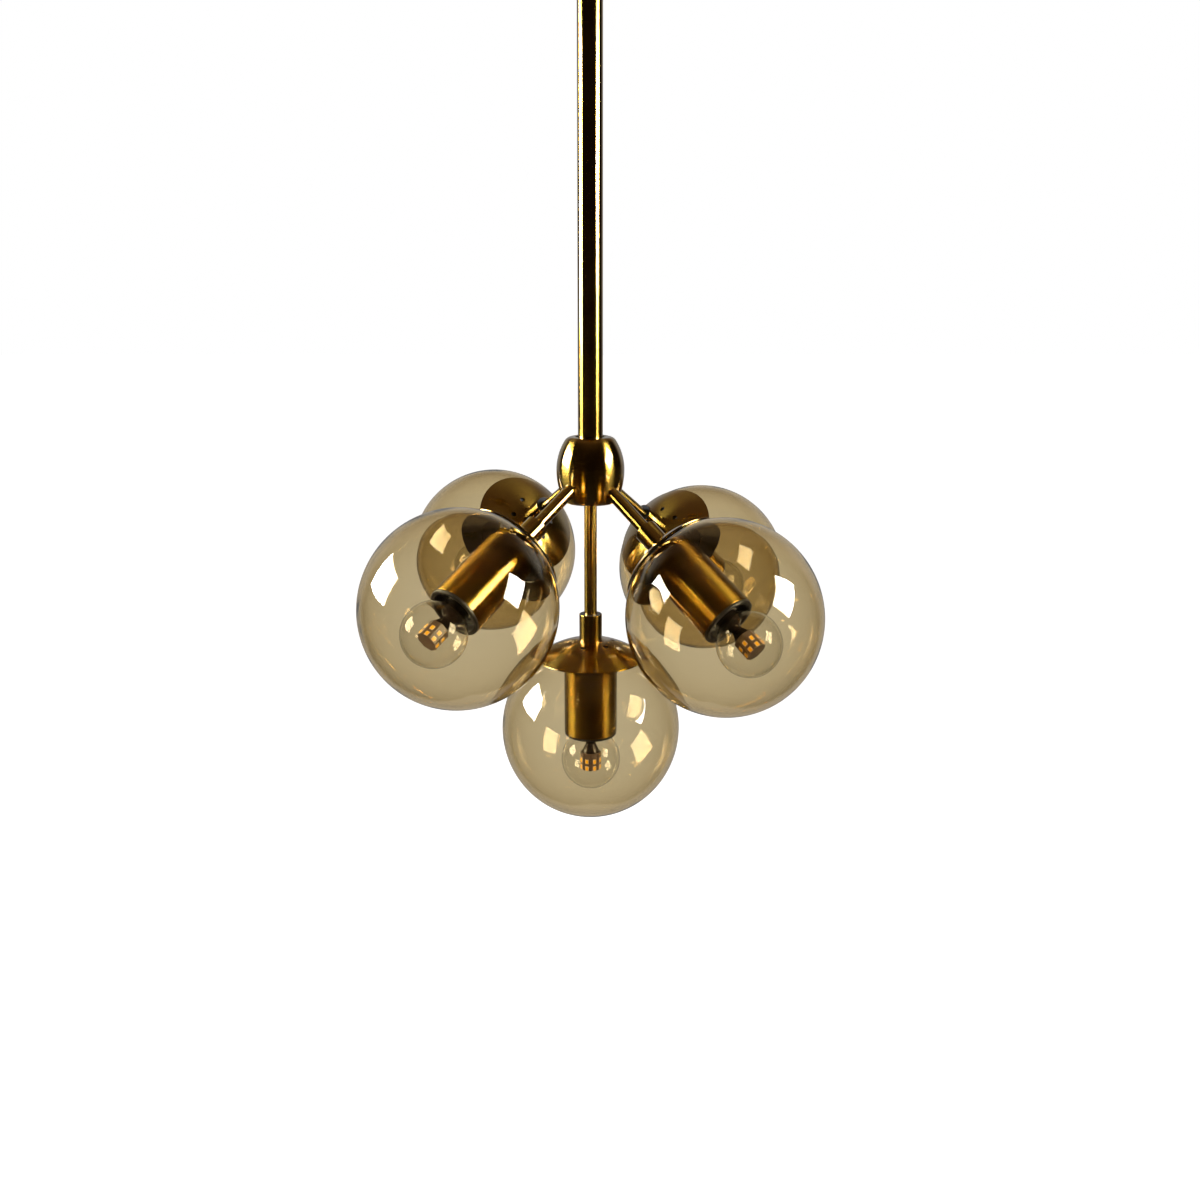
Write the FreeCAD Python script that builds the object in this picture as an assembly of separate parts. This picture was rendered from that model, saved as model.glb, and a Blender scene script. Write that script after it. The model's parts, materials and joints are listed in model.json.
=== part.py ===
import FreeCAD, Part
import math
import os
from FreeCAD import Placement, Rotation, Vector

# Five-light chandelier on a rigid stem. Lengths in millimetres, angles in degrees.
# The origin is the middle of the ceiling bracket, on the ceiling. +Z is up, +X is right and +Y is away.

# Layout of the lamps round the hub
arm_reach = 173.3              # hub centre to globe centre, along the arm
centre_drop = 221.0            # hub centre to the bottom globe's centre
coupler_height = 352.0         # hub centre to the lower end of the stem coupler
upper_stem_length = 100.0
front_left_azimuth_deg = 229.7     # from +X towards +Y
front_left_droop_deg = 30.0        # under the horizontal
front_right_azimuth_deg = 315.1
front_right_droop_deg = 34.0
rear_right_azimuth_deg = 43.3
rear_right_droop_deg = 37.2
rear_left_azimuth_deg = 128.1
rear_left_droop_deg = 32.6
bottom_azimuth_deg = 0
bottom_droop_deg = 90

# Stem, rods and hub
stem_diameter = 20.6
stem_wall = 1.2
rod_diameter = 10.6
rod_wall = 1.3
rod_start = 16.0               # hub centre to the inner end of a rod
hub_belly_diameter = 56.2
hub_end_diameter = 43.6        # where the barrel curve meets the end planes, before rounding
hub_height = 55.0
hub_edge_round = 4.0
hub_recess_diameter = 25.0
hub_recess_depth = 1.6
hub_chamber_diameter = 29.0
stem_seat_depth = 11.0         # stem below the floor of the hub's recess
coupler_length = 18.0
coupler_spigot = 10.0
coupler_bore_diameter = 12.0
hairline_chamfer = 0.3

# Globe, cap and collar
globe_diameter = 150.0
globe_wall = 2.2
globe_mouth_diameter = 60.0
mouth_round_share = 0.45       # of the globe's wall
cap_gap = 0.3                  # glass to cap
cap_wall = 1.2
cap_rim_diameter = 92.0
cap_seat_diameter = 21.0
vent_diameter = 3.0
vent_ring_diameter = 40.0
vent_count = 6
vent_turn_deg = -48.0          # the first vent, from +X of a lamp that points straight down
collar_diameter = 19.1
collar_length = 22.0
collar_chamfer = 0.5

# Spring clips that grip the edge of the globe's mouth
clip_count = 3
clip_turn_deg = 12.0
clip_width = 7.0
clip_thickness = 0.6
clip_foot = 4.0
clip_leg_inset = 2.6
clip_below_mouth = 3.0
clip_gap = 0.3

# Socket cover and lampholder, with heights from the globe's centre, positive towards the hub
cover_diameter = 44.4
cover_wall = 0.8
cover_mouth = -4.0
cover_shoulder = 62.7
groove_width = 2.0
groove_depth = 3.6
neck_diameter = 41.2
holder_lip_height = 2.3
holder_lip_inset = 0.3
holder_lip_wall = 3.6
holder_lip_round = 0.9
holder_recess_depth = 8.8
holder_bore_length = 29.5
holder_floor = 4.0
holder_top_gap = 0.7
holder_top_wall = 4.0
holder_wire_room_diameter = 32.0
rod_end_depth = 7.0            # rod below the upper face of the holder's top
shell_diameter = 28.3
shell_wall = 0.6
shell_gap = 0.3                # lamp cap to screw shell
contact_width = 6.0
contact_thickness = 0.5
contact_foot = 3.0
contact_rise = 2.9

# Bulb
bulb_diameter = 50.0
bulb_wall = 0.8
bulb_centre = -29.0
bulb_neck_diameter = 22.0
bulb_neck_blend = 4.0
base_mouth = 1.0
base_length = 22.0
base_taper_length = 3.5
base_end_diameter = 15.0
base_thread_pitch = 3.63
base_thread_depth = 0.9
tip_diameter = 9.0
tip_height = 2.2
tip_round = 1.2
tip_gap = 0.1
post_diameter = 15.0
post_round = 3.0
drum_top = -23.5
drum_length = 15.5
drum_width = 18.4              # across the flats
drum_wall = 1.0
drum_sides = 8
drum_end_inset = 1.4
chip_width = 2.8
chip_length = 3.5
chip_thickness = 0.7
chip_pitch = 6.0               # between the two rows
end_chip_count = 4
end_chip_ring_diameter = 9.0

# Ceiling parts
canopy_diameter = 120.0
canopy_depth = 30.0
canopy_wall = 1.2
canopy_edge_round = 4.0
canopy_ceiling_gap = 0.5
canopy_hole_diameter = 25.2
ball_diameter = 30.0
ball_centre_rise = 10.5        # above the inside of the canopy's floor
ball_flat_rise = 6.0
ball_neck_diameter = 13.0
ball_bore_diameter = 7.0
ball_flange_drop = 17.5
ball_flange_thickness = 3.0
ball_spigot = 10.0
seat_diameter = 36.0
seat_height = 5.0
seat_gap = 0.3
bracket_length = 100.0
bracket_width = 22.0
bracket_thickness = 2.0
bracket_centre_hole = 10.0
ceiling_hole_spacing = 60.0
ceiling_slot_width = 5.2
ceiling_slot_length = 12.0
stud_spacing = 84.0
stud_diameter = 4.0
stud_point = 6.0               # how far a stud stands out under the canopy
stud_hole_gap = 0.3
nut_diameter = 10.0
nut_height = 8.5
nut_flange_height = 2.0
nut_groove_count = 12
nut_groove_diameter = 1.2
terminal_length = 30.0
terminal_width = 16.0
terminal_height = 12.0
terminal_offset_share = 0.6    # of the canopy's radius, from the ball back to the block's middle
terminal_poles = 3
terminal_screw_diameter = 4.0
terminal_wire_diameter = 3.6
terminal_screw_depth = 5.0
terminal_notch_width = 2.0
terminal_notch_depth = 5.0

# Fits
fit_gap = 0.05                 # between pieces that are pushed or screwed together
overrun = 2.0                  # how far cutters reach past what they cut

ball_centre = -canopy_depth + canopy_wall + ball_centre_rise
stem_top = ball_centre - ball_flange_drop - ball_flange_thickness
coupler_top = stem_top - upper_stem_length
hub_centre = coupler_top - coupler_length - coupler_height
globe_radius = globe_diameter / 2
glass_inner_radius = globe_radius - globe_wall
cap_inner_radius = globe_radius + cap_gap
cap_outer_radius = cap_inner_radius + cap_wall
cover_ceiling = cover_shoulder - cover_wall
holder_top = cover_ceiling - holder_top_gap
holder_end = cover_mouth - holder_lip_height
holder_recess_floor = holder_end + holder_recess_depth
contact_floor = holder_recess_floor + holder_bore_length
wire_room_floor = contact_floor + holder_floor
rod_end = holder_top - rod_end_depth
base_shell_top = base_mouth + base_length
base_top = base_shell_top + base_taper_length
base_diameter = shell_diameter - 2 * (fit_gap + shell_wall + shell_gap)
drum_end = drum_top - drum_length
hole_diameter = rod_diameter + 2 * fit_gap
terminal_offset = terminal_offset_share * canopy_diameter / 2
LAMPS = {
    "front_left": (front_left_azimuth_deg, front_left_droop_deg),
    "front_right": (front_right_azimuth_deg, front_right_droop_deg),
    "rear_right": (rear_right_azimuth_deg, rear_right_droop_deg),
    "rear_left": (rear_left_azimuth_deg, rear_left_droop_deg),
    "bottom": (bottom_azimuth_deg, bottom_droop_deg),
}
Z_AXIS = Vector(0, 0, 1)
ORIGIN = Vector(0, 0, 0)


def at(radius, height):
    """A point of a turned profile."""
    return Vector(radius, 0, height)


def sphere_height(sphere_radius, radius):
    """How high a sphere stands above its centre at a distance from the axis."""
    return math.sqrt(sphere_radius ** 2 - radius ** 2)


def line(a, b):
    return Part.LineSegment(a, b).toShape()


def sphere_arc(sphere_radius, a, b, centre=0):
    """The arc of a sphere on the axis, between two points of a profile."""
    middle = (a + b) / 2 - at(0, centre)
    middle = at(0, centre) + middle * (sphere_radius / middle.Length)
    return Part.Arc(a, middle, b).toShape()


def open_lines(*points):
    return [line(a, b) for a, b in zip(points, points[1:])]


def turned(edges):
    """The solid that a closed profile sweeps round Z."""
    face = Part.Face(Part.Wire(Part.__sortEdges__(edges)))
    return face.revolve(ORIGIN, Z_AXIS, 360)


def turned_lines(*points):
    return turned(open_lines(*points, points[0]))


def cylinder(diameter, low, high, x=0, y=0):
    return Part.makeCylinder(diameter / 2, high - low, Vector(x, y, low))


def tube(diameter, wall, low, high):
    return cylinder(diameter, low, high).cut(cylinder(diameter - 2 * wall, low - overrun, high + overrun))


def box(length, width, low, high, x=0, y=0):
    """A block that is centred on a point of the XY plane."""
    return Part.makeBox(length, width, high - low, Vector(x - length / 2, y - width / 2, low))


def circles(shape, diameter, height):
    """The circular edges of a turned shape with one diameter at one height."""
    found = []
    for edge in shape.Edges:
        curve = None if edge.Degenerated else edge.Curve
        if isinstance(curve, Part.Circle) and abs(2 * curve.Radius - diameter) < fit_gap:
            if abs(curve.Center.z - height) < fit_gap:
                found.append(edge)
    return found


def turned_copy(shape, angle):
    copy = shape.copy()
    copy.rotate(ORIGIN, Z_AXIS, angle)
    return copy


def around(shape, count, first_angle=0):
    """Copies of a shape, evenly spaced round Z."""
    return [turned_copy(shape, first_angle + 360 * index / count) for index in range(count)]


def slot(width, length, low, high, x):
    """A cutter with round ends, along X."""
    reach = (length - width) / 2
    ends = [cylinder(width, low, high, x=x + side * reach) for side in (-1, 1)]
    return box(2 * reach, width, low, high, x=x).fuse(ends)


# Pieces of one lamp, drawn with the globe's centre at the origin and the hub straight above.

def make_globe():
    mouth = globe_mouth_diameter / 2
    outer_edge = at(mouth, sphere_height(globe_radius, mouth))
    inner_edge = at(mouth, sphere_height(glass_inner_radius, mouth))
    globe = turned([
        sphere_arc(globe_radius, outer_edge, at(globe_radius, 0)),
        sphere_arc(globe_radius, at(globe_radius, 0), at(0, -globe_radius)),
        line(at(0, -globe_radius), at(0, -glass_inner_radius)),
        sphere_arc(glass_inner_radius, at(0, -glass_inner_radius), at(glass_inner_radius, 0)),
        sphere_arc(glass_inner_radius, at(glass_inner_radius, 0), inner_edge),
        line(inner_edge, outer_edge),
    ])
    lips = []
    for edge in (outer_edge, inner_edge):
        lips += circles(globe, globe_mouth_diameter, edge.z)
    return globe.makeFillet(mouth_round_share * globe_wall, lips)


def make_cap():
    """A spun dome that follows the glass, with a flat seat for the collar and a ring of vents."""
    hole = hole_diameter / 2
    seat = cap_seat_diameter / 2
    rim = cap_rim_diameter / 2
    seat_edge = at(seat, sphere_height(cap_outer_radius, seat))
    rim_outside = at(rim, sphere_height(cap_outer_radius, rim))
    rim_inside = rim_outside * (cap_inner_radius / cap_outer_radius)
    under_hole = at(hole, sphere_height(cap_inner_radius, hole))
    dome = turned([
        line(at(hole, cap_outer_radius), at(seat, cap_outer_radius)),
        line(at(seat, cap_outer_radius), seat_edge),
        sphere_arc(cap_outer_radius, seat_edge, rim_outside),
        line(rim_outside, rim_inside),
        sphere_arc(cap_inner_radius, rim_inside, under_hole),
        line(under_hole, at(hole, cap_outer_radius)),
    ])
    ring = vent_ring_diameter / 2
    vent_low = sphere_height(cap_inner_radius, ring) - overrun
    vent = cylinder(vent_diameter, vent_low, cap_outer_radius, x=ring)
    return dome.cut(around(vent, vent_count, vent_turn_deg))


def make_collar():
    top = cap_outer_radius + collar_length
    collar = cylinder(collar_diameter, cap_outer_radius, top)
    collar = collar.makeChamfer(collar_chamfer, circles(collar, collar_diameter, top))
    return collar.cut(cylinder(hole_diameter, cap_outer_radius - overrun, top + overrun))


def make_rod(reach):
    """The threaded tube from inside the hub down to the lampholder."""
    return tube(rod_diameter, rod_wall, rod_end, reach - rod_start)


def make_cover():
    """The socket cover, with a turned groove that sets off its neck ring."""
    outside = cover_diameter / 2
    inside = outside - cover_wall
    neck = neck_diameter / 2
    groove = outside - groove_depth
    neck_inside = groove - cover_wall
    neck_top = sphere_height(cap_inner_radius, neck) - fit_gap
    neck_low = cover_shoulder + groove_width
    hole = hole_diameter / 2
    return turned_lines(
        at(outside, cover_mouth), at(outside, cover_shoulder), at(groove, cover_shoulder),
        at(groove, neck_low), at(neck, neck_low), at(neck, neck_top), at(hole, neck_top),
        at(hole, neck_top - cover_wall), at(neck_inside, neck_top - cover_wall),
        at(neck_inside, cover_ceiling), at(inside, cover_ceiling), at(inside, cover_mouth),
    )


def make_lampholder():
    """A screw lampholder of three mouldings: a skirt with the lip, a barrel and a cap for the wires."""
    lip = cover_diameter / 2 - holder_lip_inset
    body = cover_diameter / 2 - cover_wall - fit_gap
    recess = lip - holder_lip_wall
    bore = shell_diameter / 2
    lip_top = cover_mouth - fit_gap
    skirt = turned_lines(
        at(recess, holder_end), at(lip, holder_end), at(lip, lip_top), at(body, lip_top),
        at(body, holder_recess_floor), at(recess, holder_recess_floor),
    )
    skirt = skirt.makeFillet(holder_lip_round, circles(skirt, 2 * lip, holder_end))
    barrel = tube(2 * body, body - bore, holder_recess_floor, contact_floor)
    wire_cap = cylinder(2 * body, contact_floor, holder_top)
    room_top = holder_top - holder_top_wall
    wire_cap = wire_cap.cut([
        cylinder(holder_wire_room_diameter, wire_room_floor, room_top),
        cylinder(hole_diameter, room_top - overrun, holder_top + overrun),
    ])
    return Part.makeCompound([skirt, barrel, wire_cap])


def make_screw_shell():
    return tube(shell_diameter - 2 * fit_gap, shell_wall, holder_recess_floor, contact_floor - fit_gap)


def make_contact():
    """The springy centre contact: a foot on the floor of the bore and a tongue that reaches to the bulb."""
    high = contact_floor - fit_gap
    low = high - contact_rise
    end = base_diameter / 2 - contact_foot
    foot = -end
    bend = foot + contact_foot
    step = Vector(0, 0, contact_thickness)
    top = [at(foot, high), at(bend, high), at(0, low + contact_thickness), at(end, low + contact_thickness)]
    under = [point - step for point in reversed(top)]
    face = Part.Face(Part.Wire(open_lines(*top, *under, top[0])))
    tongue = face.extrude(Vector(0, contact_width, 0))
    tongue.translate(Vector(0, -contact_width / 2, 0))
    return tongue


def make_clips():
    """Three leaf springs that hang from the cap and grip the edge of the globe's mouth."""
    mouth = globe_mouth_diameter / 2
    foot = neck_diameter / 2 + clip_gap
    shoulder = foot + clip_foot
    under_cap = sphere_height(cap_inner_radius, shoulder + clip_thickness) - fit_gap
    grip = mouth - clip_gap
    grip_height = sphere_height(glass_inner_radius, mouth) + globe_wall / 2
    end = grip - clip_leg_inset
    end_height = grip_height - clip_below_mouth
    outer = [
        at(foot, under_cap), at(shoulder, under_cap), at(grip, grip_height), at(end, end_height),
    ]
    inner = [
        at(end - clip_thickness, end_height), at(grip - clip_thickness, grip_height),
        at(shoulder - clip_thickness / 2, under_cap - clip_thickness),
        at(foot, under_cap - clip_thickness),
    ]
    face = Part.Face(Part.Wire(open_lines(*outer, *inner, outer[0])))
    clip = face.extrude(Vector(0, clip_width, 0))
    clip.translate(Vector(0, -clip_width / 2, 0))
    within_mouth = cylinder(2 * grip, 0, globe_radius)
    return around(clip.common(within_mouth), clip_count, clip_turn_deg)


def make_bulb_glass():
    """A blown ball on a short neck, open where the neck meets the lamp cap."""
    shells = []
    for inset in (0, bulb_wall):
        ball = bulb_diameter / 2 - inset
        neck = bulb_neck_diameter / 2 - inset
        blend = bulb_neck_blend + inset
        # The blend's centre lies outside the neck and touches the ball.
        blend_side = neck + blend
        blend_height = bulb_centre + math.sqrt((ball + blend) ** 2 - blend_side ** 2)
        blend_centre = at(blend_side, blend_height)
        towards = at(0, bulb_centre) - blend_centre
        meets_ball = blend_centre + towards * (blend / towards.Length)
        meets_neck = at(neck, blend_height)
        middle = (meets_ball + meets_neck) / 2 - blend_centre
        middle = blend_centre + middle * (blend / middle.Length)
        top = base_mouth - fit_gap + (overrun if inset else 0)
        shells.append(turned([
            sphere_arc(ball, at(0, bulb_centre - ball), at(ball, bulb_centre), bulb_centre),
            sphere_arc(ball, at(ball, bulb_centre), meets_ball, bulb_centre),
            Part.Arc(meets_ball, middle, meets_neck).toShape(),
            line(meets_neck, at(neck, top)),
            line(at(neck, top), at(0, top)),
            line(at(0, top), at(0, bulb_centre - ball)),
        ]))
    return shells[0].cut(shells[1])


def make_bulb_base():
    """The lamp cap: a rolled thread, drawn as rings, and the taper down to the insulator."""
    crest = base_diameter / 2
    root = crest - base_thread_depth
    height = base_mouth + base_thread_pitch
    points = [at(0, base_mouth), at(crest, base_mouth), at(crest, height)]
    while height + base_thread_pitch < base_shell_top:
        points.append(at(root, height + base_thread_pitch / 2))
        height += base_thread_pitch
        points.append(at(crest, height))
    points += [at(root, base_shell_top), at(base_end_diameter / 2, base_top), at(0, base_top)]
    return turned_lines(*points)


def make_bulb_tip():
    low = base_top + tip_gap
    tip = cylinder(tip_diameter, low, low + tip_height)
    return tip.makeFillet(tip_round, circles(tip, tip_diameter, low + tip_height))


def prism(width, low, high):
    """The drum's eight-sided shape, by its width across the flats."""
    radius = width / 2 / math.cos(math.pi / drum_sides)
    corners = []
    for side in range(drum_sides):
        angle = math.pi * (2 * side + 1) / drum_sides
        corners.append(Vector(radius * math.cos(angle), radius * math.sin(angle), low))
    face = Part.Face(Part.Wire(open_lines(*corners, corners[0])))
    return face.extrude(Vector(0, 0, high - low))


def make_led_module():
    """A post with an eight-sided drum of circuit board, two rows of chips and four more on its end."""
    post = cylinder(post_diameter, drum_top, base_mouth - fit_gap)
    post = post.makeFillet(post_round, circles(post, post_diameter, drum_top))
    drum = prism(drum_width, drum_end, drum_top + drum_wall)
    plate_low = drum_end + drum_end_inset
    plate_top = plate_low + drum_wall
    inner_width = drum_width - 2 * drum_wall
    drum = drum.cut([
        prism(inner_width, drum_end - overrun, plate_low), prism(inner_width, plate_top, drum_top),
    ])
    chips = []
    drum_middle = drum_end + (drum_length - post_round) / 2
    for row in (-1, 1):
        low = drum_middle + (row * chip_pitch - chip_length) / 2
        chip = box(2 * chip_thickness, chip_width, low, low + chip_length, x=drum_width / 2)
        chips += around(chip, drum_sides)
    end_chip = box(
        chip_length, chip_width, plate_low - chip_thickness, plate_low + chip_thickness,
        x=end_chip_ring_diameter / 2)
    chips += around(end_chip, end_chip_count)
    return post.fuse([drum] + chips).removeSplitter()


# Pieces of the stem and the ceiling, drawn where they are.

def make_hub():
    """A barrel with a recess round the stem, bores for the rods and a chamber for the wires."""
    belly = hub_belly_diameter / 2
    end = hub_end_diameter / 2
    half = hub_height / 2
    side = Part.Arc(at(end, -half), at(belly, 0), at(end, half)).toShape()
    barrel = turned([side] + open_lines(at(end, half), at(0, half), at(0, -half), at(end, -half)))
    ends = circles(barrel, hub_end_diameter, half) + circles(barrel, hub_end_diameter, -half)
    barrel = barrel.makeFillet(hub_edge_round, ends)
    recess_floor = half - hub_recess_depth
    bores = [
        cylinder(hub_recess_diameter, recess_floor, half + overrun),
        cylinder(stem_diameter + 2 * fit_gap, recess_floor - stem_seat_depth, half),
        Part.makeSphere(hub_chamber_diameter / 2),
    ]
    for azimuth, droop in LAMPS.values():
        bore = cylinder(hole_diameter, -hub_belly_diameter, 0)
        bores.append(placed(bore, lamp_placement(azimuth, droop, 0)))
    hub = barrel.cut(bores)
    hub.translate(Vector(0, 0, hub_centre))
    return hub


def lamp_placement(azimuth, droop, reach, centre_height=0):
    """Puts a lamp drawn with the hub above it at its place, with its axis through the hub's centre."""
    rotation = Rotation(Z_AXIS, azimuth).multiply(Rotation(Vector(0, 1, 0), droop - 90))
    towards_hub = rotation.multVec(Z_AXIS)
    return Placement(Vector(0, 0, centre_height) - towards_hub * reach, rotation)


def make_lower_stem():
    seat = hub_centre + hub_height / 2 - hub_recess_depth - stem_seat_depth
    return tube(stem_diameter, stem_wall, seat + fit_gap, coupler_top - coupler_length)


def make_upper_stem():
    return tube(stem_diameter, stem_wall, coupler_top, stem_top)


def make_coupler():
    """A sleeve as wide as the stem, with a spigot up and down into its ends."""
    low = coupler_top - coupler_length
    sleeve = cylinder(stem_diameter, low, coupler_top)
    edges = circles(sleeve, stem_diameter, low) + circles(sleeve, stem_diameter, coupler_top)
    sleeve = sleeve.makeChamfer(hairline_chamfer, edges)
    spigot_diameter = stem_diameter - 2 * (stem_wall + fit_gap)
    spigot = cylinder(spigot_diameter, low - coupler_spigot, coupler_top + coupler_spigot)
    bore = cylinder(
        coupler_bore_diameter, low - coupler_spigot - overrun, coupler_top + coupler_spigot + overrun)
    return sleeve.fuse(spigot).cut(bore)


def make_swivel_ball():
    """The hang-straight ball, with a neck through the canopy's hole and a spigot into the stem."""
    ball = Part.makeSphere(ball_diameter / 2, Vector(0, 0, ball_centre))
    flat = ball_centre + ball_flat_rise
    ball = ball.cut(cylinder(2 * ball_diameter, flat, flat + ball_diameter))
    neck = cylinder(ball_neck_diameter, stem_top, ball_centre)
    flange = cylinder(stem_diameter, stem_top, stem_top + ball_flange_thickness)
    flange = flange.makeChamfer(hairline_chamfer, circles(flange, stem_diameter, stem_top))
    spigot_diameter = stem_diameter - 2 * (stem_wall + fit_gap)
    spigot = cylinder(spigot_diameter, stem_top - ball_spigot, stem_top)
    bore = cylinder(ball_bore_diameter, stem_top - ball_spigot - overrun, flat + overrun)
    return ball.fuse([neck, flange, spigot]).cut(bore)


def make_swivel_seat():
    """The nylon washer that the ball tilts in."""
    floor = ball_centre - ball_centre_rise + seat_gap
    ring = cylinder(seat_diameter, floor, floor + seat_height)
    return ring.cut(Part.makeSphere(ball_diameter / 2 + seat_gap, Vector(0, 0, ball_centre)))


def make_canopy():
    """A spun cup, open to the ceiling, with the ball's hole and two stud holes in its floor."""
    outside = canopy_diameter / 2
    floor = -canopy_depth
    cup = cylinder(canopy_diameter, floor, -canopy_ceiling_gap)
    cup = cup.makeFillet(canopy_edge_round, circles(cup, canopy_diameter, floor))
    inside = cylinder(2 * (outside - canopy_wall), floor + canopy_wall, 0)
    inner_round = canopy_edge_round - canopy_wall
    inside = inside.makeFillet(
        inner_round, circles(inside, 2 * (outside - canopy_wall), floor + canopy_wall))
    holes = [cylinder(canopy_hole_diameter, floor - overrun, 0)]
    for side in (-1, 1):
        stud_hole = cylinder(
            stud_diameter + 2 * stud_hole_gap, floor - overrun, 0, x=side * stud_spacing / 2)
        holes.append(stud_hole)
    return cup.cut([inside] + holes)


def make_bracket():
    """The steel strap that is screwed to the ceiling."""
    reach = (bracket_length - bracket_width) / 2
    low = -bracket_thickness
    strap = box(2 * reach, bracket_width, low, 0).fuse(
        [cylinder(bracket_width, low, 0, x=side * reach) for side in (-1, 1)])
    holes = [cylinder(bracket_centre_hole, low - overrun, overrun)]
    for side in (-1, 1):
        slot_x = side * ceiling_hole_spacing / 2
        holes.append(slot(ceiling_slot_width, ceiling_slot_length, low - overrun, overrun, slot_x))
        holes.append(cylinder(
            stud_diameter + 2 * fit_gap, low - overrun, overrun, x=side * stud_spacing / 2))
    return strap.removeSplitter().cut(holes)


def make_studs():
    return [
        cylinder(stud_diameter, -canopy_depth - stud_point, -fit_gap, x=side * stud_spacing / 2)
        for side in (-1, 1)
    ]


def make_cap_nuts():
    """Two knurled cap nuts that draw the canopy up to the ceiling."""
    nuts = []
    top = -canopy_depth - fit_gap
    low = top - nut_height
    barrel_low = top - nut_flange_height
    barrel_diameter = nut_diameter - 2 * nut_groove_diameter
    nut = cylinder(nut_diameter, barrel_low, top).fuse(cylinder(barrel_diameter, low, top))
    nut = nut.makeFillet(nut_flange_height, circles(nut, barrel_diameter, low))
    groove = cylinder(nut_groove_diameter, low - overrun, top + overrun, x=nut_diameter / 2)
    bore = cylinder(stud_diameter + 2 * fit_gap, -canopy_depth - stud_point - fit_gap, top + overrun)
    nut = nut.cut(around(groove, nut_groove_count) + [bore])
    for side in (-1, 1):
        copy = nut.copy()
        copy.translate(Vector(side * stud_spacing / 2, 0, 0))
        nuts.append(copy)
    return nuts


def make_terminal_block():
    """The mains terminals on the canopy's floor, with a screw and a wire way at each pole."""
    low = -canopy_depth + canopy_wall + fit_gap
    top = low + terminal_height
    middle = low + terminal_height / 2
    block = box(terminal_length, terminal_width, low, top, y=terminal_offset)
    pole_pitch = terminal_length / terminal_poles
    cutters = []
    for pole in range(terminal_poles):
        x = (pole - (terminal_poles - 1) / 2) * pole_pitch
        wire_way = Part.makeCylinder(
            terminal_wire_diameter / 2, terminal_width + 2 * overrun,
            Vector(x, terminal_offset - terminal_width / 2 - overrun, middle), Vector(0, 1, 0))
        cutters += [wire_way, cylinder(
            terminal_screw_diameter, top - terminal_screw_depth, top + overrun, x=x, y=terminal_offset)]
        if pole:
            cutters.append(box(
                terminal_notch_width, terminal_width + overrun, top - terminal_notch_depth, top + overrun,
                x=x - pole_pitch / 2, y=terminal_offset))
    return block.cut(cutters)


LAMP_PIECES = {
    "globe": make_globe,
    "cap": make_cap,
    "socket_cover": make_cover,
    "lampholder": make_lampholder,
    "bulb_glass": make_bulb_glass,
    "bulb_base": make_bulb_base,
    "bulb_tip": make_bulb_tip,
    "led_module": make_led_module,
}
LAMP_FITTINGS = {
    "collar_nuts": lambda: [make_collar()],
    "globe_clips": make_clips,
    "screw_shells": lambda: [make_screw_shell()],
    "holder_contacts": lambda: [make_contact()],
}
SHARED_PIECES = {
    "hub": make_hub,
    "lower_stem": make_lower_stem,
    "stem_coupler": make_coupler,
    "upper_stem": make_upper_stem,
    "swivel_ball": make_swivel_ball,
    "swivel_seat": make_swivel_seat,
    "canopy": make_canopy,
    "canopy_nuts": lambda: Part.makeCompound(make_cap_nuts()),
    "ceiling_bracket": make_bracket,
    "bracket_studs": lambda: Part.makeCompound(make_studs()),
    "terminal_block": make_terminal_block,
}


def placed(shape, placement):
    copy = shape.copy()
    copy.Placement = placement.multiply(copy.Placement)
    return copy


def build():
    """Every node of the chandelier, by name."""
    nodes = {name: make() for name, make in SHARED_PIECES.items()}
    pieces = {name: make() for name, make in LAMP_PIECES.items()}
    fittings = {name: make() for name, make in LAMP_FITTINGS.items()}
    fitted = {name: [] for name in fittings}
    for lamp, (azimuth, droop) in LAMPS.items():
        reach = centre_drop if lamp == "bottom" else arm_reach
        placement = lamp_placement(azimuth, droop, reach, hub_centre)
        nodes["rod_" + lamp] = placed(make_rod(reach), placement)
        for name, shape in pieces.items():
            nodes[name + "_" + lamp] = placed(shape, placement)
        for name, shapes in fittings.items():
            fitted[name] += [placed(shape, placement) for shape in shapes]
    for name, shapes in fitted.items():
        nodes[name] = Part.makeCompound(shapes)
    return nodes


def main():
    os.makedirs("parts", exist_ok=True)
    nodes = build()
    for name, shape in nodes.items():
        shape.exportStep("parts/" + name + ".step")
        print(name, len(shape.Solids), "solids", round(shape.Volume), "mm3", shape.isValid())
    print(len(nodes), "nodes; hub centre", round(hub_centre, 1), "ball centre", round(ball_centre, 1))


main()
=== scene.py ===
# %% [markdown]
# # A chandelier of five amber globes
#
# A brass stem carries a barrel hub. Four straight rods splay from the hub and one hangs under it.
# Each rod ends in a collar, a domed cap, a socket cover and a blown glass globe round a clear bulb.
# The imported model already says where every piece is. Here each piece gets its visible surface:
# metal is spun on a lathe in code, glass is given two true walls, and whatever repeats is made
# with Geometry Nodes.

# %% Load the frame
import json
import math

import bmesh
import bpy
from mathutils import Matrix, Vector


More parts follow.
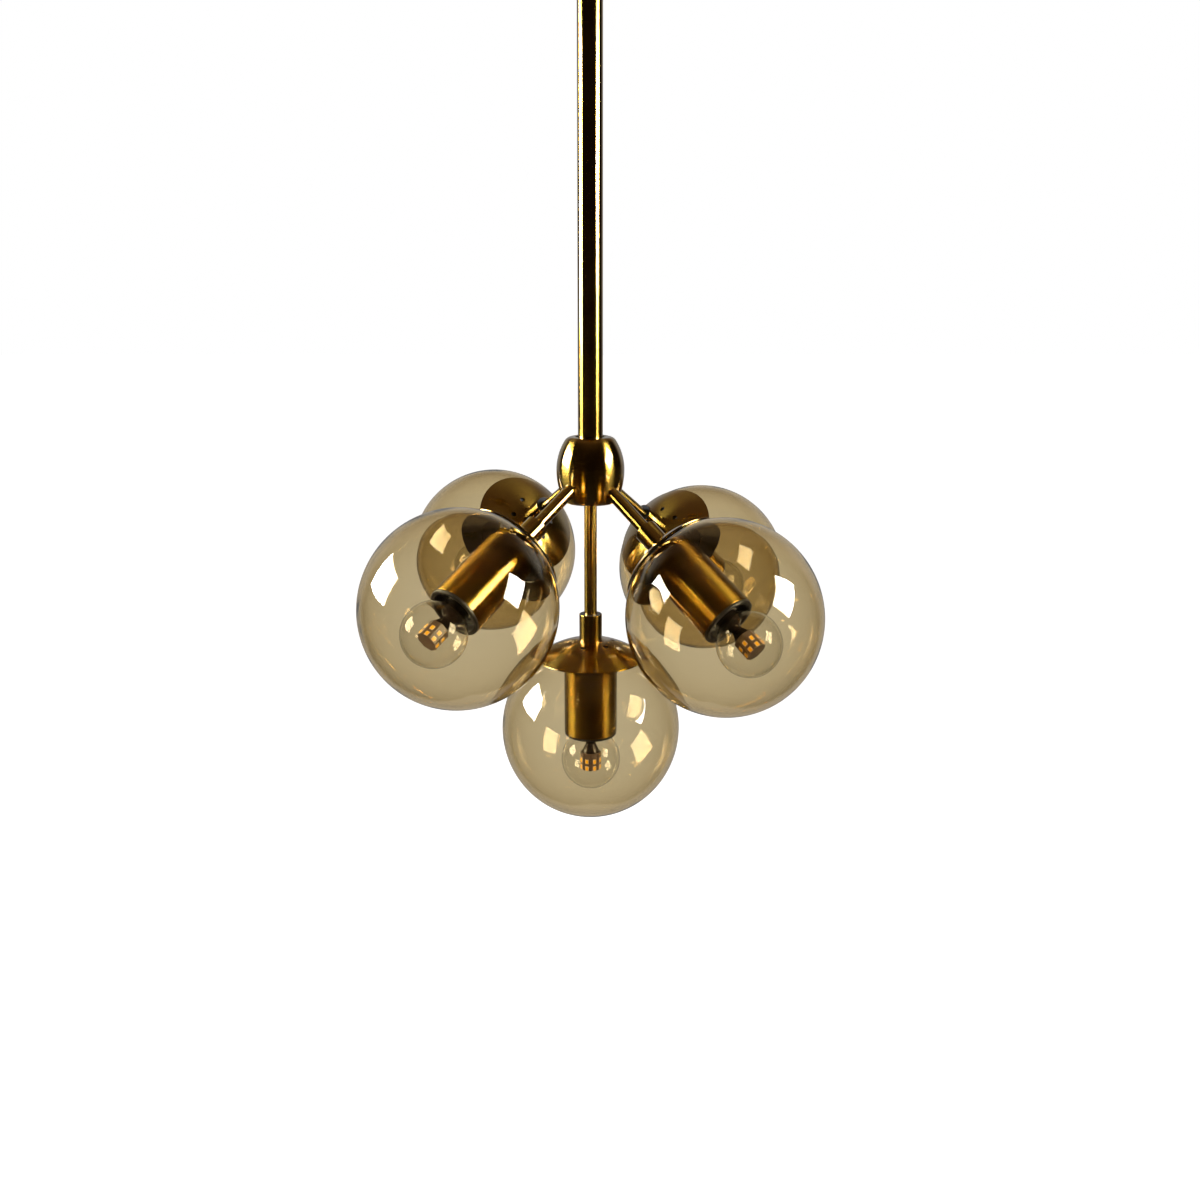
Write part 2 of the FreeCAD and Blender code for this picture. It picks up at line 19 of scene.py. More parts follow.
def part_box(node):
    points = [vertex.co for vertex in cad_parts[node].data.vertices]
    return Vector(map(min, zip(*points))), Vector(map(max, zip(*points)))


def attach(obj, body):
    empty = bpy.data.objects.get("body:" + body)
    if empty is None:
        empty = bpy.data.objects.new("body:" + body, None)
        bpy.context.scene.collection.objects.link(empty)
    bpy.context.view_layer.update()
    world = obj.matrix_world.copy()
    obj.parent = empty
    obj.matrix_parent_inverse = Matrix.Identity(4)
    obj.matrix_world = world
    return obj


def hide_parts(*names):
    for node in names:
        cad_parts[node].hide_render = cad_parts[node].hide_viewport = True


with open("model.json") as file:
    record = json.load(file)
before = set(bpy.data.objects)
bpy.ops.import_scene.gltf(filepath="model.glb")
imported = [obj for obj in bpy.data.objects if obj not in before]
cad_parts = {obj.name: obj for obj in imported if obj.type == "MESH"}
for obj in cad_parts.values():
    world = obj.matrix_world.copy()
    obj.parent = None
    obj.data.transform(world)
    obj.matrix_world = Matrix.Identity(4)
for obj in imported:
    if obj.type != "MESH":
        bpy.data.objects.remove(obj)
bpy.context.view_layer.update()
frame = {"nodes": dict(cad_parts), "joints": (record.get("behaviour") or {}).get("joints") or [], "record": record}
nodes = frame["nodes"]
joints = {joint["name"]: joint for joint in frame["joints"]}

# %% [markdown]
# ## Where the lamps are
#
# Every lamp is the same set of pieces, turned to its own arm. So a piece is drawn once, in the
# lamp's own axes: the globe's centre is the origin and the hub is straight above. The bulb's
# turning joint gives the centre and the direction of each lamp, which is all that is needed to
# place a piece. Heights and radii in this file are in millimetres.

# %% The lamps' own axes
MM = 0.001
LAMPS = ("front_left", "front_right", "rear_right", "rear_left", "bottom")


def lamp_axes(lamp):
    """The matrix that takes a point of the lamp's own axes to its place."""
    joint = joints[f"bulb_{lamp}_turn"]
    out = Vector(joint["axis"]).normalized()
    azimuth = math.atan2(out.y, out.x)
    droop = math.asin(max(-1.0, min(1.0, -out.z)))
    turn = Matrix.Rotation(azimuth, 4, "Z") @ Matrix.Rotation(droop - math.pi / 2, 4, "Y")
    return Matrix.Translation(joint["pos_m"]) @ turn


AXES = {lamp: lamp_axes(lamp) for lamp in LAMPS}
hub_low, hub_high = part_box("hub")
HUB_CENTRE = (hub_low + hub_high) / 2
REACH = {lamp: (AXES[lamp].translation - HUB_CENTRE).length / MM for lamp in LAMPS}
print("arms:", {lamp: round(reach, 1) for lamp, reach in REACH.items()})

# %% [markdown]
# ## Turning on a lathe
#
# Nearly every piece of this lamp is round. A real spinner or lathe sweeps one outline round an
# axis, and so does the helper below. Its outline is a closed row of corners, each with a small
# rounding, because no turned edge is truly sharp and it is the rounding that catches the light.
# Each surface point also keeps two things for its material: a UV map whose U runs along the
# outline and whose V runs round the axis, and an attribute that holds the same place as a vector
# without a seam.

# %% Outline helpers
ARC_STEP = math.radians(15)
AXIS_RADIUS = 1e-6


def outline(*corners):
    """Rounds a closed outline of (radius, height, rounding). Rounding 0 is a point of a curve."""
    points = []
    for index, (radius, height, rounding) in enumerate(corners):
        here = Vector((radius, height))
        if not rounding:
            points.append(here)
            continue
        to_last = (Vector(corners[index - 1][:2]) - here).normalized()
        to_next = (Vector(corners[(index + 1) % len(corners)][:2]) - here).normalized()
        half = to_last.angle(to_next) / 2
        centre = here + (to_last + to_next).normalized() * (rounding / math.sin(half))
        start = here + to_last * (rounding / math.tan(half)) - centre
        end = here + to_next * (rounding / math.tan(half)) - centre
        turn = math.atan2(start.x * end.y - start.y * end.x, start.dot(end))
        steps = max(2, round(abs(turn) / ARC_STEP))
        for step in range(steps + 1):
            angle = turn * step / steps
            points.append(centre + Vector((
                start.x * math.cos(angle) - start.y * math.sin(angle),
                start.x * math.sin(angle) + start.y * math.cos(angle))))
    return points


def bow(radius, first, last, step=3, centre=(0, 0)):
    """Points of an arc. The angles are in degrees, from straight up towards the outside."""
    count = max(2, round(abs(last - first) / step))
    points = []
    for index in range(count + 1):
        angle = math.radians(first + (last - first) * index / count)
        points.append((centre[0] + radius * math.sin(angle), centre[1] + radius * math.cos(angle), 0))
    return points


# %% Lathe


def spin(name, points, steps=96, thread=None):
    """Sweeps a closed outline round Z. A thread moves each point by its angle and height."""
    mesh = bpy.data.meshes.new(name)
    bm = bmesh.new()
    uv = bm.loops.layers.uv.new("turning")
    lathe = bm.verts.layers.float_vector.new("lathe")
    along = [0.0]
    for last, here in zip(points, points[1:] + points[:1]):
        along.append(along[-1] + (here - last).length)
    rings = []
    for point, way in zip(points, along):
        on_axis = point.x < AXIS_RADIUS
        ring = []
        for step in range(1 if on_axis else steps):
            angle = 2 * math.pi * step / steps
            side = Vector((math.cos(angle), math.sin(angle), 0))
            radius = point.x + (thread(angle, point) if thread else 0)
            vertex = bm.verts.new((side * radius + Vector((0, 0, point.y))) * MM)
            vertex[lathe] = (side.x, side.y, way * MM)
            ring.append(vertex)
        rings.append(ring)
    for index, ring in enumerate(rings):
        after = rings[(index + 1) % len(rings)]
        if len(ring) == 1 and len(after) == 1:
            continue
        for step in range(steps):
            ahead = (step + 1) % steps
            corners = [(ring, step, 0), (ring, ahead, 0), (after, ahead, 1), (after, step, 1)]
            if len(ring) == 1:
                corners.pop(1)
            elif len(after) == 1:
                corners.pop(2)
            face = bm.faces.new([row[at % len(row)] for row, at, _ in corners])
            face.smooth = True
            for loop, (_, at, end) in zip(face.loops, corners):
                turned = (step + 1) / steps if at == ahead else step / steps
                loop[uv].uv = (along[index + end] * MM, turned)
    bmesh.ops.recalc_face_normals(bm, faces=bm.faces)
    bm.to_mesh(mesh)
    bm.free()
    return mesh


# %% [markdown]
# ## Colours and nodes
#
# Colours are written as the sRGB hex codes that a paint chart or an image editor shows. Shaders
# count in linear light, so one function converts them. Another adds a node, sets its properties
# and feeds its inputs, for shaders and Geometry Nodes alike.

# %% Colour and node helpers


def colour(code):
    """Linear red, green, blue and alpha of an sRGB hex code."""
    parts = [int(code[start:start + 2], 16) / 255 for start in (1, 3, 5)]
    return [v / 12.92 if v <= 0.04045 else ((v + 0.055) / 1.055) ** 2.4 for v in parts] + [1.0]


def add(tree, kind, feeds=None, **settings):
    """Adds a node. Settings are its properties, and feeds gives each input a value or a socket."""
    made = tree.nodes.new(kind)
    for name, value in settings.items():
        setattr(made, name, value)
    for key, value in (feeds or {}).items():
        if isinstance(value, bpy.types.NodeSocket):
            tree.links.new(value, made.inputs[key])
        else:
            made.inputs[key].default_value = value
    return made


def new_material(name, **values):
    """A material with one Principled shader, and that shader."""
    material = bpy.data.materials.new(name)
    material.use_nodes = True
    shader = material.node_tree.nodes["Principled BSDF"]
    for key, value in values.items():
        shader.inputs[key.replace("_", " ")].default_value = value
    return material, material.node_tree, shader


# %% [markdown]
# ## Antique brass
#
# Brass is copper and zinc, a warm yellow metal. For an antique finish it is darkened in a bath,
# brushed back on the lathe and lacquered. The brush leaves fine rings, which spread a highlight
# along the piece but not round it. That is why lamps of this finish show long narrow streaks of
# light on a nearly black-brown body. Anisotropy along the outline does this. The rings themselves
# are finer than a pixel, so a faint change of tint round the axis stands for them, on top of the
# clouds that the bath leaves. The lacquer is a thin clear coat, whose colourless gloss turns the
# middle of each streak white. The socket covers are brushed more coarsely than the rest, so their
# streaks run on to where they face away from the lamps.

# %% Antique brass
BRUSH_MM = 1.5                   # real rings are finer, but would not show
BRUSH_RUN = 0.25                 # how fast a ring's tint changes on its way round
BRUSH_TINT = 0.1                 # the rings' share of the tint, beside the clouds
PATINA_MM = 25
BRIGHT_BRASS = "#b0923a"
DARK_BRASS = "#96702c"
LACQUER_ROUGHNESS = 0.03
FINE_BRUSH = 0.17                # the metal's roughness
COARSE_BRUSH = 0.24


def make_brass(name, rough):
    """Brushed brass under lacquer. Its highlights are drawn out along the turned outline."""
    material, tree, shader = new_material(
        name, Metallic=1.0, Roughness=rough, Anisotropic=1.0,
        Coat_Weight=1.0, Coat_Roughness=LACQUER_ROUGHNESS)
    around = add(tree, "ShaderNodeAttribute", attribute_name="lathe").outputs["Vector"]
    stretched = add(tree, "ShaderNodeMapping", {
        "Vector": around, "Scale": (BRUSH_RUN, BRUSH_RUN, 1 / (BRUSH_MM * MM))}).outputs["Vector"]
    rings = add(tree, "ShaderNodeTexNoise", {
        "Vector": stretched, "Scale": 1.0, "Detail": 2.0}).outputs["Fac"]
    solid = add(tree, "ShaderNodeTexCoord").outputs["Object"]
    clouds = add(tree, "ShaderNodeTexNoise", {
        "Vector": solid, "Scale": 1 / (PATINA_MM * MM), "Detail": 4.0}).outputs["Fac"]
    patina = add(tree, "ShaderNodeMapRange", {
        "Value": clouds, "From Min": 0.35, "From Max": 0.65}).outputs["Result"]
    patina = add(tree, "ShaderNodeMix", {
        "Factor": BRUSH_TINT, "A": patina, "B": rings}).outputs["Result"]
    tint = add(tree, "ShaderNodeMix", {
        "Factor": patina, "A": colour(DARK_BRASS), "B": colour(BRIGHT_BRASS)}, data_type="RGBA")
    tangent = add(tree, "ShaderNodeTangent", direction_type="UV_MAP", uv_map="turning")
    tree.links.new(tint.outputs["Result"], shader.inputs["Base Color"])
    tree.links.new(tangent.outputs["Tangent"], shader.inputs["Tangent"])
    return material


BRASS = make_brass("antique_brass", FINE_BRUSH)
COVER_BRASS = make_brass("coarsely_brushed_brass", COARSE_BRUSH)

# %% [markdown]
# ## Glass
#
# The globes are blown soda-lime glass, coloured amber all through. Two true walls bend the light as
# a real globe does. The colour comes from what the glass takes off along a ray's way through the
# wall, so the rims, where that way is longest, turn golden brown by themselves. Light from the
# lamps has to reach the metal inside, so rays towards a lamp pass the surfaces without bending.
# Shallow swells, far too slight to change the outline, make the edges of the mirrored softboxes
# wander as they do on glass that was blown.

# %% Glass materials
GLASS_WALL = 2.2
WAVE_MM = 30                     # mouth-blown glass keeps shallow swells of about this width
WAVE_DEPTH = 0.3


def make_glass(name, surface, ior, behind_wall=None):
    """Clear glass, or blown coloured glass that shows white as one colour behind its wall."""
    material, tree, shader = new_material(
        name, Base_Color=colour(surface), Roughness=0.0, IOR=ior, Transmission_Weight=1.0)
    film = add(tree, "ShaderNodeBsdfTransparent", {"Color": colour(surface)}).outputs["BSDF"]
    towards_lamp = add(tree, "ShaderNodeLightPath").outputs["Is Shadow Ray"]
    both = add(tree, "ShaderNodeMixShader", {
        0: towards_lamp, 1: shader.outputs["BSDF"], 2: film}).outputs["Shader"]
    out = tree.nodes["Material Output"]
    tree.links.new(both, out.inputs["Surface"])
    if behind_wall:
        taken = [-math.log(share) / (GLASS_WALL * MM) for share in colour(behind_wall)[:3]]
        depth = add(tree, "ShaderNodeVolumeAbsorption", {
            "Color": [1 - part / max(taken) for part in taken] + [1.0], "Density": max(taken)})
        tree.links.new(depth.outputs["Volume"], out.inputs["Volume"])
        print(name, "takes off", [round(part) for part in taken], "per metre")
        solid = add(tree, "ShaderNodeTexCoord").outputs["Object"]
        swells = add(tree, "ShaderNodeTexNoise", {
            "Vector": solid, "Scale": 1 / (WAVE_MM * MM), "Detail": 1.0}).outputs["Fac"]
        wavy = add(tree, "ShaderNodeBump", {"Height": swells, "Distance": WAVE_DEPTH * MM})
        tree.links.new(wavy.outputs["Normal"], shader.inputs["Normal"])
    return material


AMBER_GLASS = make_glass("blown_amber_glass", "#fbfaf6", 1.5, "#ede3cc")
CLEAR_GLASS = make_glass("blown_clear_glass", "#fbfaf6", 1.47)

# %% [markdown]
# ## Plastics and plain metals
#
# The lampholder is black phenolic, moulded hot and slightly mottled. The swivel ring and the
# terminal block are white nylon with a waxy surface. The fixings are zinc-plated steel, whose
# crystals show as faint spangles. The bulb's cap is nickel-plated, and its LEDs sit on a folded
# aluminium circuit board under brown solder mask, each with a cap of yellow phosphor. Shaded brass,
# such as a cap's hollow side, gets a near-black finish, which is painted shade.

# %% Plastic, steel and board materials


def make_plain(name, light, dark, grain_mm, rough, spread, **values):
    """A finish whose colour and roughness drift between two values over a grain size."""
    material, tree, shader = new_material(name, **values)
    solid = add(tree, "ShaderNodeTexCoord").outputs["Object"]
    grain = add(tree, "ShaderNodeTexNoise", {
        "Vector": solid, "Scale": 1 / (grain_mm * MM), "Detail": 3.0}).outputs["Fac"]
    tint = add(tree, "ShaderNodeMix", {
        "Factor": grain, "A": colour(dark), "B": colour(light)}, data_type="RGBA")
    matt = add(tree, "ShaderNodeMapRange", {
        "Value": grain, "To Min": rough - spread, "To Max": rough + spread}).outputs["Result"]
    tree.links.new(tint.outputs["Result"], shader.inputs["Base Color"])
    tree.links.new(matt, shader.inputs["Roughness"])
    return material


PHENOLIC = make_plain("black_phenolic", "#201f1e", "#141313", 3, 0.35, 0.08)
NYLON = make_plain("white_nylon", "#e6e3d8", "#d9d6ca", 4, 0.42, 0.06)
ZINC = make_plain("zinc_plated_steel", "#c9cbcc", "#a9adb0", 2, 0.36, 0.1, Metallic=1.0)
SPRING = make_plain("blued_spring_steel", "#4a4c55", "#33343a", 2, 0.3, 0.08, Metallic=1.0)
ROLLED_BRASS = make_plain("rolled_brass", "#d9b964", "#c8a552", 3, 0.25, 0.08, Metallic=1.0)
NUT_BRASS = make_plain("antique_brass_nuts", "#b08838", "#7d5c2a", 2, 0.28, 0.08, Metallic=1.0)
NICKEL = make_plain("nickel_plate", "#cfc9bd", "#bab4a8", 3, 0.22, 0.06, Metallic=1.0)
BOARD = make_plain("solder_masked_board", "#46382f", "#382d28", 1.5, 0.45, 0.08)
POST = make_plain("dark_glazed_post", "#1b1613", "#120e0c", 3, 0.05, 0.01)
PHOSPHOR = make_plain("phosphor_silicone", "#e4ac14", "#d49c0c", 0.8, 0.35, 0.05)
CHIP_FRAME = make_plain("white_chip_frame", "#c4b09c", "#b4a08c", 0.8, 0.4, 0.05)
# Near-black painted shade for shaded brass: a cap's hollow side, the collars' ends, the covers' tops and the hub's
# recess.
PAINTED_SHADE_BLACK = make_plain("painted_shade_black", "#1b1d21", "#131519", 12, 0.3, 0.06)
KEPT_FINISHES = {
    "antique_brass": NUT_BRASS, "amber_glass": AMBER_GLASS, "clear_glass": CLEAR_GLASS,
    "black_phenolic": PHENOLIC, "zinc_steel": ZINC, "spring_steel": SPRING,
    "plain_brass": ROLLED_BRASS, "nickel_plate": NICKEL, "circuit_board": BOARD,
    "white_nylon": NYLON,
}
for part in frame["record"]["subparts"]:
    kept = nodes[part["node"]].data
    kept.materials.clear()
    kept.materials.append(KEPT_FINISHES[part["material_slot"]])

# %% [markdown]
# ## Putting a piece in place
#
# A finished piece is one mesh whose vertices are already where they belong, so its object stays at
# the origin. It rides on the body that carries it, takes the finish that it is given and stands for
# the plain solid that it replaces, which is hidden. Before that, wide faces are given more say over
# the shading than the small roundings beside them, so that flats look flat.

# %% Placing helpers
FRAME_BODY = "hanging_frame"
SHARP = math.radians(40)


def link(name, mesh):
    obj = bpy.data.objects.new(name, mesh)
    bpy.context.scene.collection.objects.link(obj)
    return obj


def applied(name, obj):
    """The object's mesh with its modifiers applied. The object itself is removed."""
    graph = bpy.context.evaluated_depsgraph_get()
    mesh = bpy.data.meshes.new_from_object(
        obj.evaluated_get(graph), preserve_all_data_layers=True, depsgraph=graph)
    mesh.name = name
    bpy.data.objects.remove(obj)
    return mesh


def shaded(mesh):
    """The same mesh with sharp edges kept sharp and wide faces setting the normals."""
    mesh.set_sharp_from_angle(angle=SHARP)
    obj = link(mesh.name, mesh)
    obj.modifiers.new("flats", "WEIGHTED_NORMAL").keep_sharp = True
    return applied(mesh.name, obj)


def put(name, mesh, material, slot, body, *replaced):
    """Gives a finished mesh its material and body, and hides the CAD nodes that it stands for. The slot is not
    used.
    """
    if not mesh.materials:
        mesh.materials.append(material)
    obj = link(name, mesh)
    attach(obj, body)
    if replaced:
        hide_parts(*replaced)
    return obj


def put_on_lamps(kind, mesh, material, slot, body, replaced=None):
    """Puts a copy of a lamp's piece on every lamp. LAMP in a name stands for the lamp's name."""
    for lamp in LAMPS:
        copy = mesh.copy()
        copy.transform(AXES[lamp])
        names = [replaced.replace("LAMP", lamp)] if replaced else []
        put(f"{kind}_{lamp}", copy, material, slot, body.replace("LAMP", lamp), *names)
    print(kind, "on", len(LAMPS), "lamps:", len(mesh.polygons), "faces each")
    bpy.data.meshes.remove(mesh)


# %% [markdown]
# ## The globes
#
# A globe is blown into a mould and its mouth is fire-polished, so the lip is round. The outline
# goes down the outside and back up the inside. The fine steps keep reflections on it even.

# %% Globes
GLOBE_RADIUS = 75.0
MOUTH_RADIUS = 30.0
LIP_ROUND = 0.45 * GLASS_WALL
GLASS_STEP = 2                   # degrees between the outline's points
GLASS_SIDES = 160
INNER_RADIUS = GLOBE_RADIUS - GLASS_WALL


def angle_at(sphere, radius):
    """The angle from straight up at which a sphere is this far from the axis, in degrees."""
    return math.degrees(math.asin(radius / sphere))


outside = bow(GLOBE_RADIUS, angle_at(GLOBE_RADIUS, MOUTH_RADIUS), 180, GLASS_STEP)
inside = bow(INNER_RADIUS, 180, angle_at(INNER_RADIUS, MOUTH_RADIUS), GLASS_STEP)
outside[0] = (*outside[0][:2], LIP_ROUND)
inside[-1] = (*inside[-1][:2], LIP_ROUND)
outside[-1] = (0.0, -GLOBE_RADIUS, 0)
inside[0] = (0.0, -INNER_RADIUS, 0)
globe = spin("glass_globe", outline(*outside, *inside), GLASS_SIDES)
put_on_lamps("glass_globe", globe, AMBER_GLASS, "amber_glass", "globe_LAMP", "globe_LAMP")

# %% [markdown]
# ## Caps with their vents
#
# Each cap is spun from sheet brass over a form that has the globe's curve. Its rim is turned
# smooth and six vents are punched round the collar, which let the bulb's heat out. The dome is a
# turned outline, and a Geometry Nodes tree puts the punches on a circle and cuts them out. The
# inside is painted grey-black: painted shade for the hollow under the dome.

# %% The punching tree
ROD_RADIUS = 5.3
SEAM = 0.05                      # kept between pieces that meet
HOLE_RADIUS = ROD_RADIUS + SEAM


def punch_tree():
    """Cuts round vents, evenly spaced on a circle, through a dome."""
    tree = bpy.data.node_groups.new("punched vents", "GeometryNodeTree")
    given_sockets = (
        ("Dome", "Geometry"), ("Vents", "Int"), ("Ring radius", "Float"), ("Vent radius", "Float"),
        ("First vent", "Float"), ("Material", "Material"))
    for name, kind in given_sockets:
        tree.interface.new_socket(name, in_out="INPUT", socket_type="NodeSocket" + kind)
    tree.interface.new_socket("Punched", in_out="OUTPUT", socket_type="NodeSocketGeometry")
    given = add(tree, "NodeGroupInput").outputs
    punch = add(tree, "GeometryNodeMeshCylinder", {
        "Vertices": 32, "Radius": given["Vent radius"], "Depth": 1.0}).outputs["Mesh"]
    circle = add(tree, "GeometryNodeMeshCircle", {
        "Vertices": given["Vents"], "Radius": given["Ring radius"]}).outputs["Mesh"]
    turn = add(tree, "ShaderNodeCombineXYZ", {"Z": given["First vent"]}).outputs["Vector"]
    turned = add(tree, "GeometryNodeTransform", {"Geometry": circle, "Rotation": turn}).outputs[0]
    punches = add(tree, "GeometryNodeInstanceOnPoints", {
        "Points": turned, "Instance": punch}).outputs[0]
    solid = add(tree, "GeometryNodeRealizeInstances", {"Geometry": punches}).outputs[0]
    cut = add(tree, "GeometryNodeMeshBoolean", {"Mesh 1": given["Dome"], "Mesh 2": solid},
              operation="DIFFERENCE", solver="EXACT")
    done = add(tree, "GeometryNodeSetMaterial", {
        "Geometry": cut.outputs["Mesh"], "Material": given["Material"]}).outputs[0]
    add(tree, "NodeGroupOutput", {"Punched": done})
    return tree


def grow(name, mesh, tree, **values):
    """Runs a Geometry Nodes tree on a mesh. Inputs are set before the first evaluation."""
    obj = link(name, mesh)
    modifier = obj.modifiers.new(name, "NODES")
    modifier.node_group = tree
    given = {key.replace("_", " "): value for key, value in values.items()}
    for item in tree.interface.items_tree:
        if item.in_out == "INPUT" and item.name in given:
            modifier[item.identifier] = given.pop(item.name)
    assert not given, f"{tree.name} has no input {sorted(given)}"
    grown = applied(name, obj)
    grown.materials.clear()
    grown.materials.append(values["Material"])
    grown.polygons.foreach_set("material_index", [0] * len(grown.polygons))
    return grown


def two_finishes(mesh, first, second, is_second):
    """Gives the faces that a test picks the second finish, and the others the first."""
    mesh.materials.clear()
    mesh.materials.append(first)
    mesh.materials.append(second)
    picked = [is_second(face) for face in mesh.polygons]
    for face, second_one in zip(mesh.polygons, picked):
        face.material_index = int(second_one)
    print(mesh.name, "has", sum(picked), "faces of", second.name)


# %% Caps
CAP_OUTER = 76.5
CAP_WALL = 1.2
CAP_INNER = CAP_OUTER - CAP_WALL
CAP_RIM_RADIUS = 46.0
CAP_SEAT_RADIUS = 10.5
RIM_ROUND = 0.5
VENTS = 6
VENT_RING = 19.0
VENT_RADIUS = 2.2
FIRST_VENT = math.radians(-48)
ON_SURFACE = 0.1                 # a face this near to a surface lies on it
rim_angle = angle_at(CAP_OUTER, CAP_RIM_RADIUS)
outside = bow(CAP_OUTER, angle_at(CAP_OUTER, CAP_SEAT_RADIUS), rim_angle, 2)
inside = bow(CAP_INNER, rim_angle, angle_at(CAP_INNER, HOLE_RADIUS), 2)
outside[-1] = (*outside[-1][:2], RIM_ROUND)
inside[0] = (*inside[0][:2], RIM_ROUND)
inside[-1] = (*inside[-1][:2], 0.2)
dome = spin("dome", outline(
    (HOLE_RADIUS, CAP_OUTER, 0.2), (CAP_SEAT_RADIUS, CAP_OUTER, 0.05), *outside, *inside), 120)
vented = shaded(grow(
    "vented_cap", dome, punch_tree(), Vents=VENTS, Ring_radius=VENT_RING * MM,
    Vent_radius=VENT_RADIUS * MM, First_vent=FIRST_VENT, Material=BRASS))
# Painted shade: the faces on the dome's hollow side get the near-black finish.
two_finishes(
    vented, BRASS, PAINTED_SHADE_BLACK, lambda face: face.center.length < (CAP_INNER + ON_SURFACE) * MM)
put_on_lamps("vented_cap", vented, BRASS, "antique_brass", FRAME_BODY, "cap_LAMP")

# %% [markdown]
# ## Collars, rods and socket covers
#
# The collar is a turned nut that clamps the cap on the rod, so its ends are chamfered. Its flat end
# round the rod is painted black, a painted shade for the gap there. The socket cover is a spun cup
# with a groove turned in its neck, which sets off the ring under the cap. Its top, which shows
# through the cap's vents, is painted black too, so that the vents look dark: painted shade.

# %% Collars, rods and socket covers
COLLAR_RADIUS = 9.55
COLLAR_TOP = CAP_OUTER + 22.0
COLLAR_CHAMFER = 0.6
ROD_WALL = 1.3
ROD_START = 16.0                 # from the hub's centre to a rod's inner end
ROD_END = 54.2
COVER_RADIUS = 22.2
COVER_WALL = 0.8
COVER_MOUTH = -4.0
COVER_SHOULDER = 62.7
GROOVE_RADIUS = 18.6
NECK_LOW = 64.7
NECK_RADIUS = 20.6
NECK_TOP = 72.38
collar = spin("collar", outline(
    (HOLE_RADIUS, CAP_OUTER, 0.1), (COLLAR_RADIUS, CAP_OUTER, 0.25),
    (COLLAR_RADIUS, COLLAR_TOP, COLLAR_CHAMFER), (HOLE_RADIUS, COLLAR_TOP, 0.1)), 72)
collar = shaded(collar)
# Painted shade: the collar's flat end round the rod is near-black.
two_finishes(
    collar, BRASS, PAINTED_SHADE_BLACK, lambda face: face.center.z > (COLLAR_TOP - ON_SURFACE) * MM
    and face.center.xy.length < (COLLAR_RADIUS - COLLAR_CHAMFER) * MM)
collars = []
for lamp in LAMPS:
    copy = collar.copy()
    copy.transform(AXES[lamp])
    collars.append(copy)
    start = REACH[lamp] - ROD_START
    bore = ROD_RADIUS - ROD_WALL
    rod = spin("rod", outline(
        (ROD_RADIUS, ROD_END, 0.2), (ROD_RADIUS, start, 0.2),
        (bore, start, 0.1), (bore, ROD_END, 0.1)), 48)
    rod.transform(AXES[lamp])
    put(f"turned_rod_{lamp}", shaded(rod), BRASS, "antique_brass", FRAME_BODY, f"rod_{lamp}")
together = bmesh.new()
for copy in collars:
    together.from_mesh(copy)
joined = bpy.data.meshes.new("turned_collars")
together.to_mesh(joined)
together.free()
joined.materials.append(BRASS)
joined.materials.append(PAINTED_SHADE_BLACK)
put("turned_collars", joined, BRASS, "antique_brass", FRAME_BODY, "collar_nuts")
cover = spin("cover", outline(
    (COVER_RADIUS, COVER_MOUTH, 0.3), (COVER_RADIUS, COVER_SHOULDER, 0.45),
    (GROOVE_RADIUS, COVER_SHOULDER, 0.2), (GROOVE_RADIUS, NECK_LOW, 0.2),
    (NECK_RADIUS, NECK_LOW, 0.3), (NECK_RADIUS, NECK_TOP, 0.3), (HOLE_RADIUS, NECK_TOP, 0.1),
    (HOLE_RADIUS, NECK_TOP - COVER_WALL, 0.1),
    (GROOVE_RADIUS - COVER_WALL, NECK_TOP - COVER_WALL, 0.2),
    (GROOVE_RADIUS - COVER_WALL, COVER_SHOULDER - COVER_WALL, 0.2),
    (COVER_RADIUS - COVER_WALL, COVER_SHOULDER - COVER_WALL, 0.2),
    (COVER_RADIUS - COVER_WALL, COVER_MOUTH, 0.3)), 96)
cover = shaded(cover)
# Painted shade: the cover's top, seen through the vents, is near-black.
two_finishes(
    cover, COVER_BRASS, PAINTED_SHADE_BLACK, lambda face: face.center.z > (NECK_TOP - ON_SURFACE) * MM)
put_on_lamps(
    "spun_socket_cover", cover, COVER_BRASS, "antique_brass", FRAME_BODY, "socket_cover_LAMP")

# %% [markdown]
# ## Lampholders
#
# A lampholder is pressed from black phenolic powder. Its rounded lip stands a little below the
# socket cover, and the recess behind it is where the bulb's cap disappears.

# %% Lampholders
LIP_END = -6.3
LIP_RADIUS = 21.9
LIP_WALL = 3.6
BODY_RADIUS = 21.35
RECESS_FLOOR = 2.5
BORE_RADIUS = 14.15
BORE_END = 32.0
HOLDER_TOP = 61.2
holder = spin("holder", outline(
    (0.0, BORE_END, 0), (BORE_RADIUS, BORE_END, 0.2), (BORE_RADIUS, RECESS_FLOOR, 0.4),
    (LIP_RADIUS - LIP_WALL, RECESS_FLOOR, 0.6), (LIP_RADIUS - LIP_WALL, LIP_END, 0.8),
    (LIP_RADIUS, LIP_END, 0.9), (LIP_RADIUS, COVER_MOUTH - SEAM, 0.15),
    (BODY_RADIUS, COVER_MOUTH - SEAM, 0.1), (BODY_RADIUS, HOLDER_TOP, 0.5),
    (0.0, HOLDER_TOP, 0)), 96)
put_on_lamps(
    "moulded_lampholder", shaded(holder), PHENOLIC, "black_phenolic", FRAME_BODY, "lampholder_LAMP")

# %% [markdown]
# ## Bulbs
#
# The bulb is a clear blown ball on a short neck, glued into a nickel-plated screw cap whose thread
# is rolled. A dark glazed post carries an eight-sided drum of circuit board with LED chips. The
# ball is a turned outline with two walls. The thread is the same lathe with a radius that follows
# a helix. The chips repeat round the drum, so a Geometry Nodes tree sets them out.

# %% Bulb glass
BULB_RADIUS = 25.0
BULB_WALL = 0.6
BULB_CENTRE = -29.0
BULB_NECK_RADIUS = 11.0
BULB_BLEND = 4.0
BASE_MOUTH = 1.0


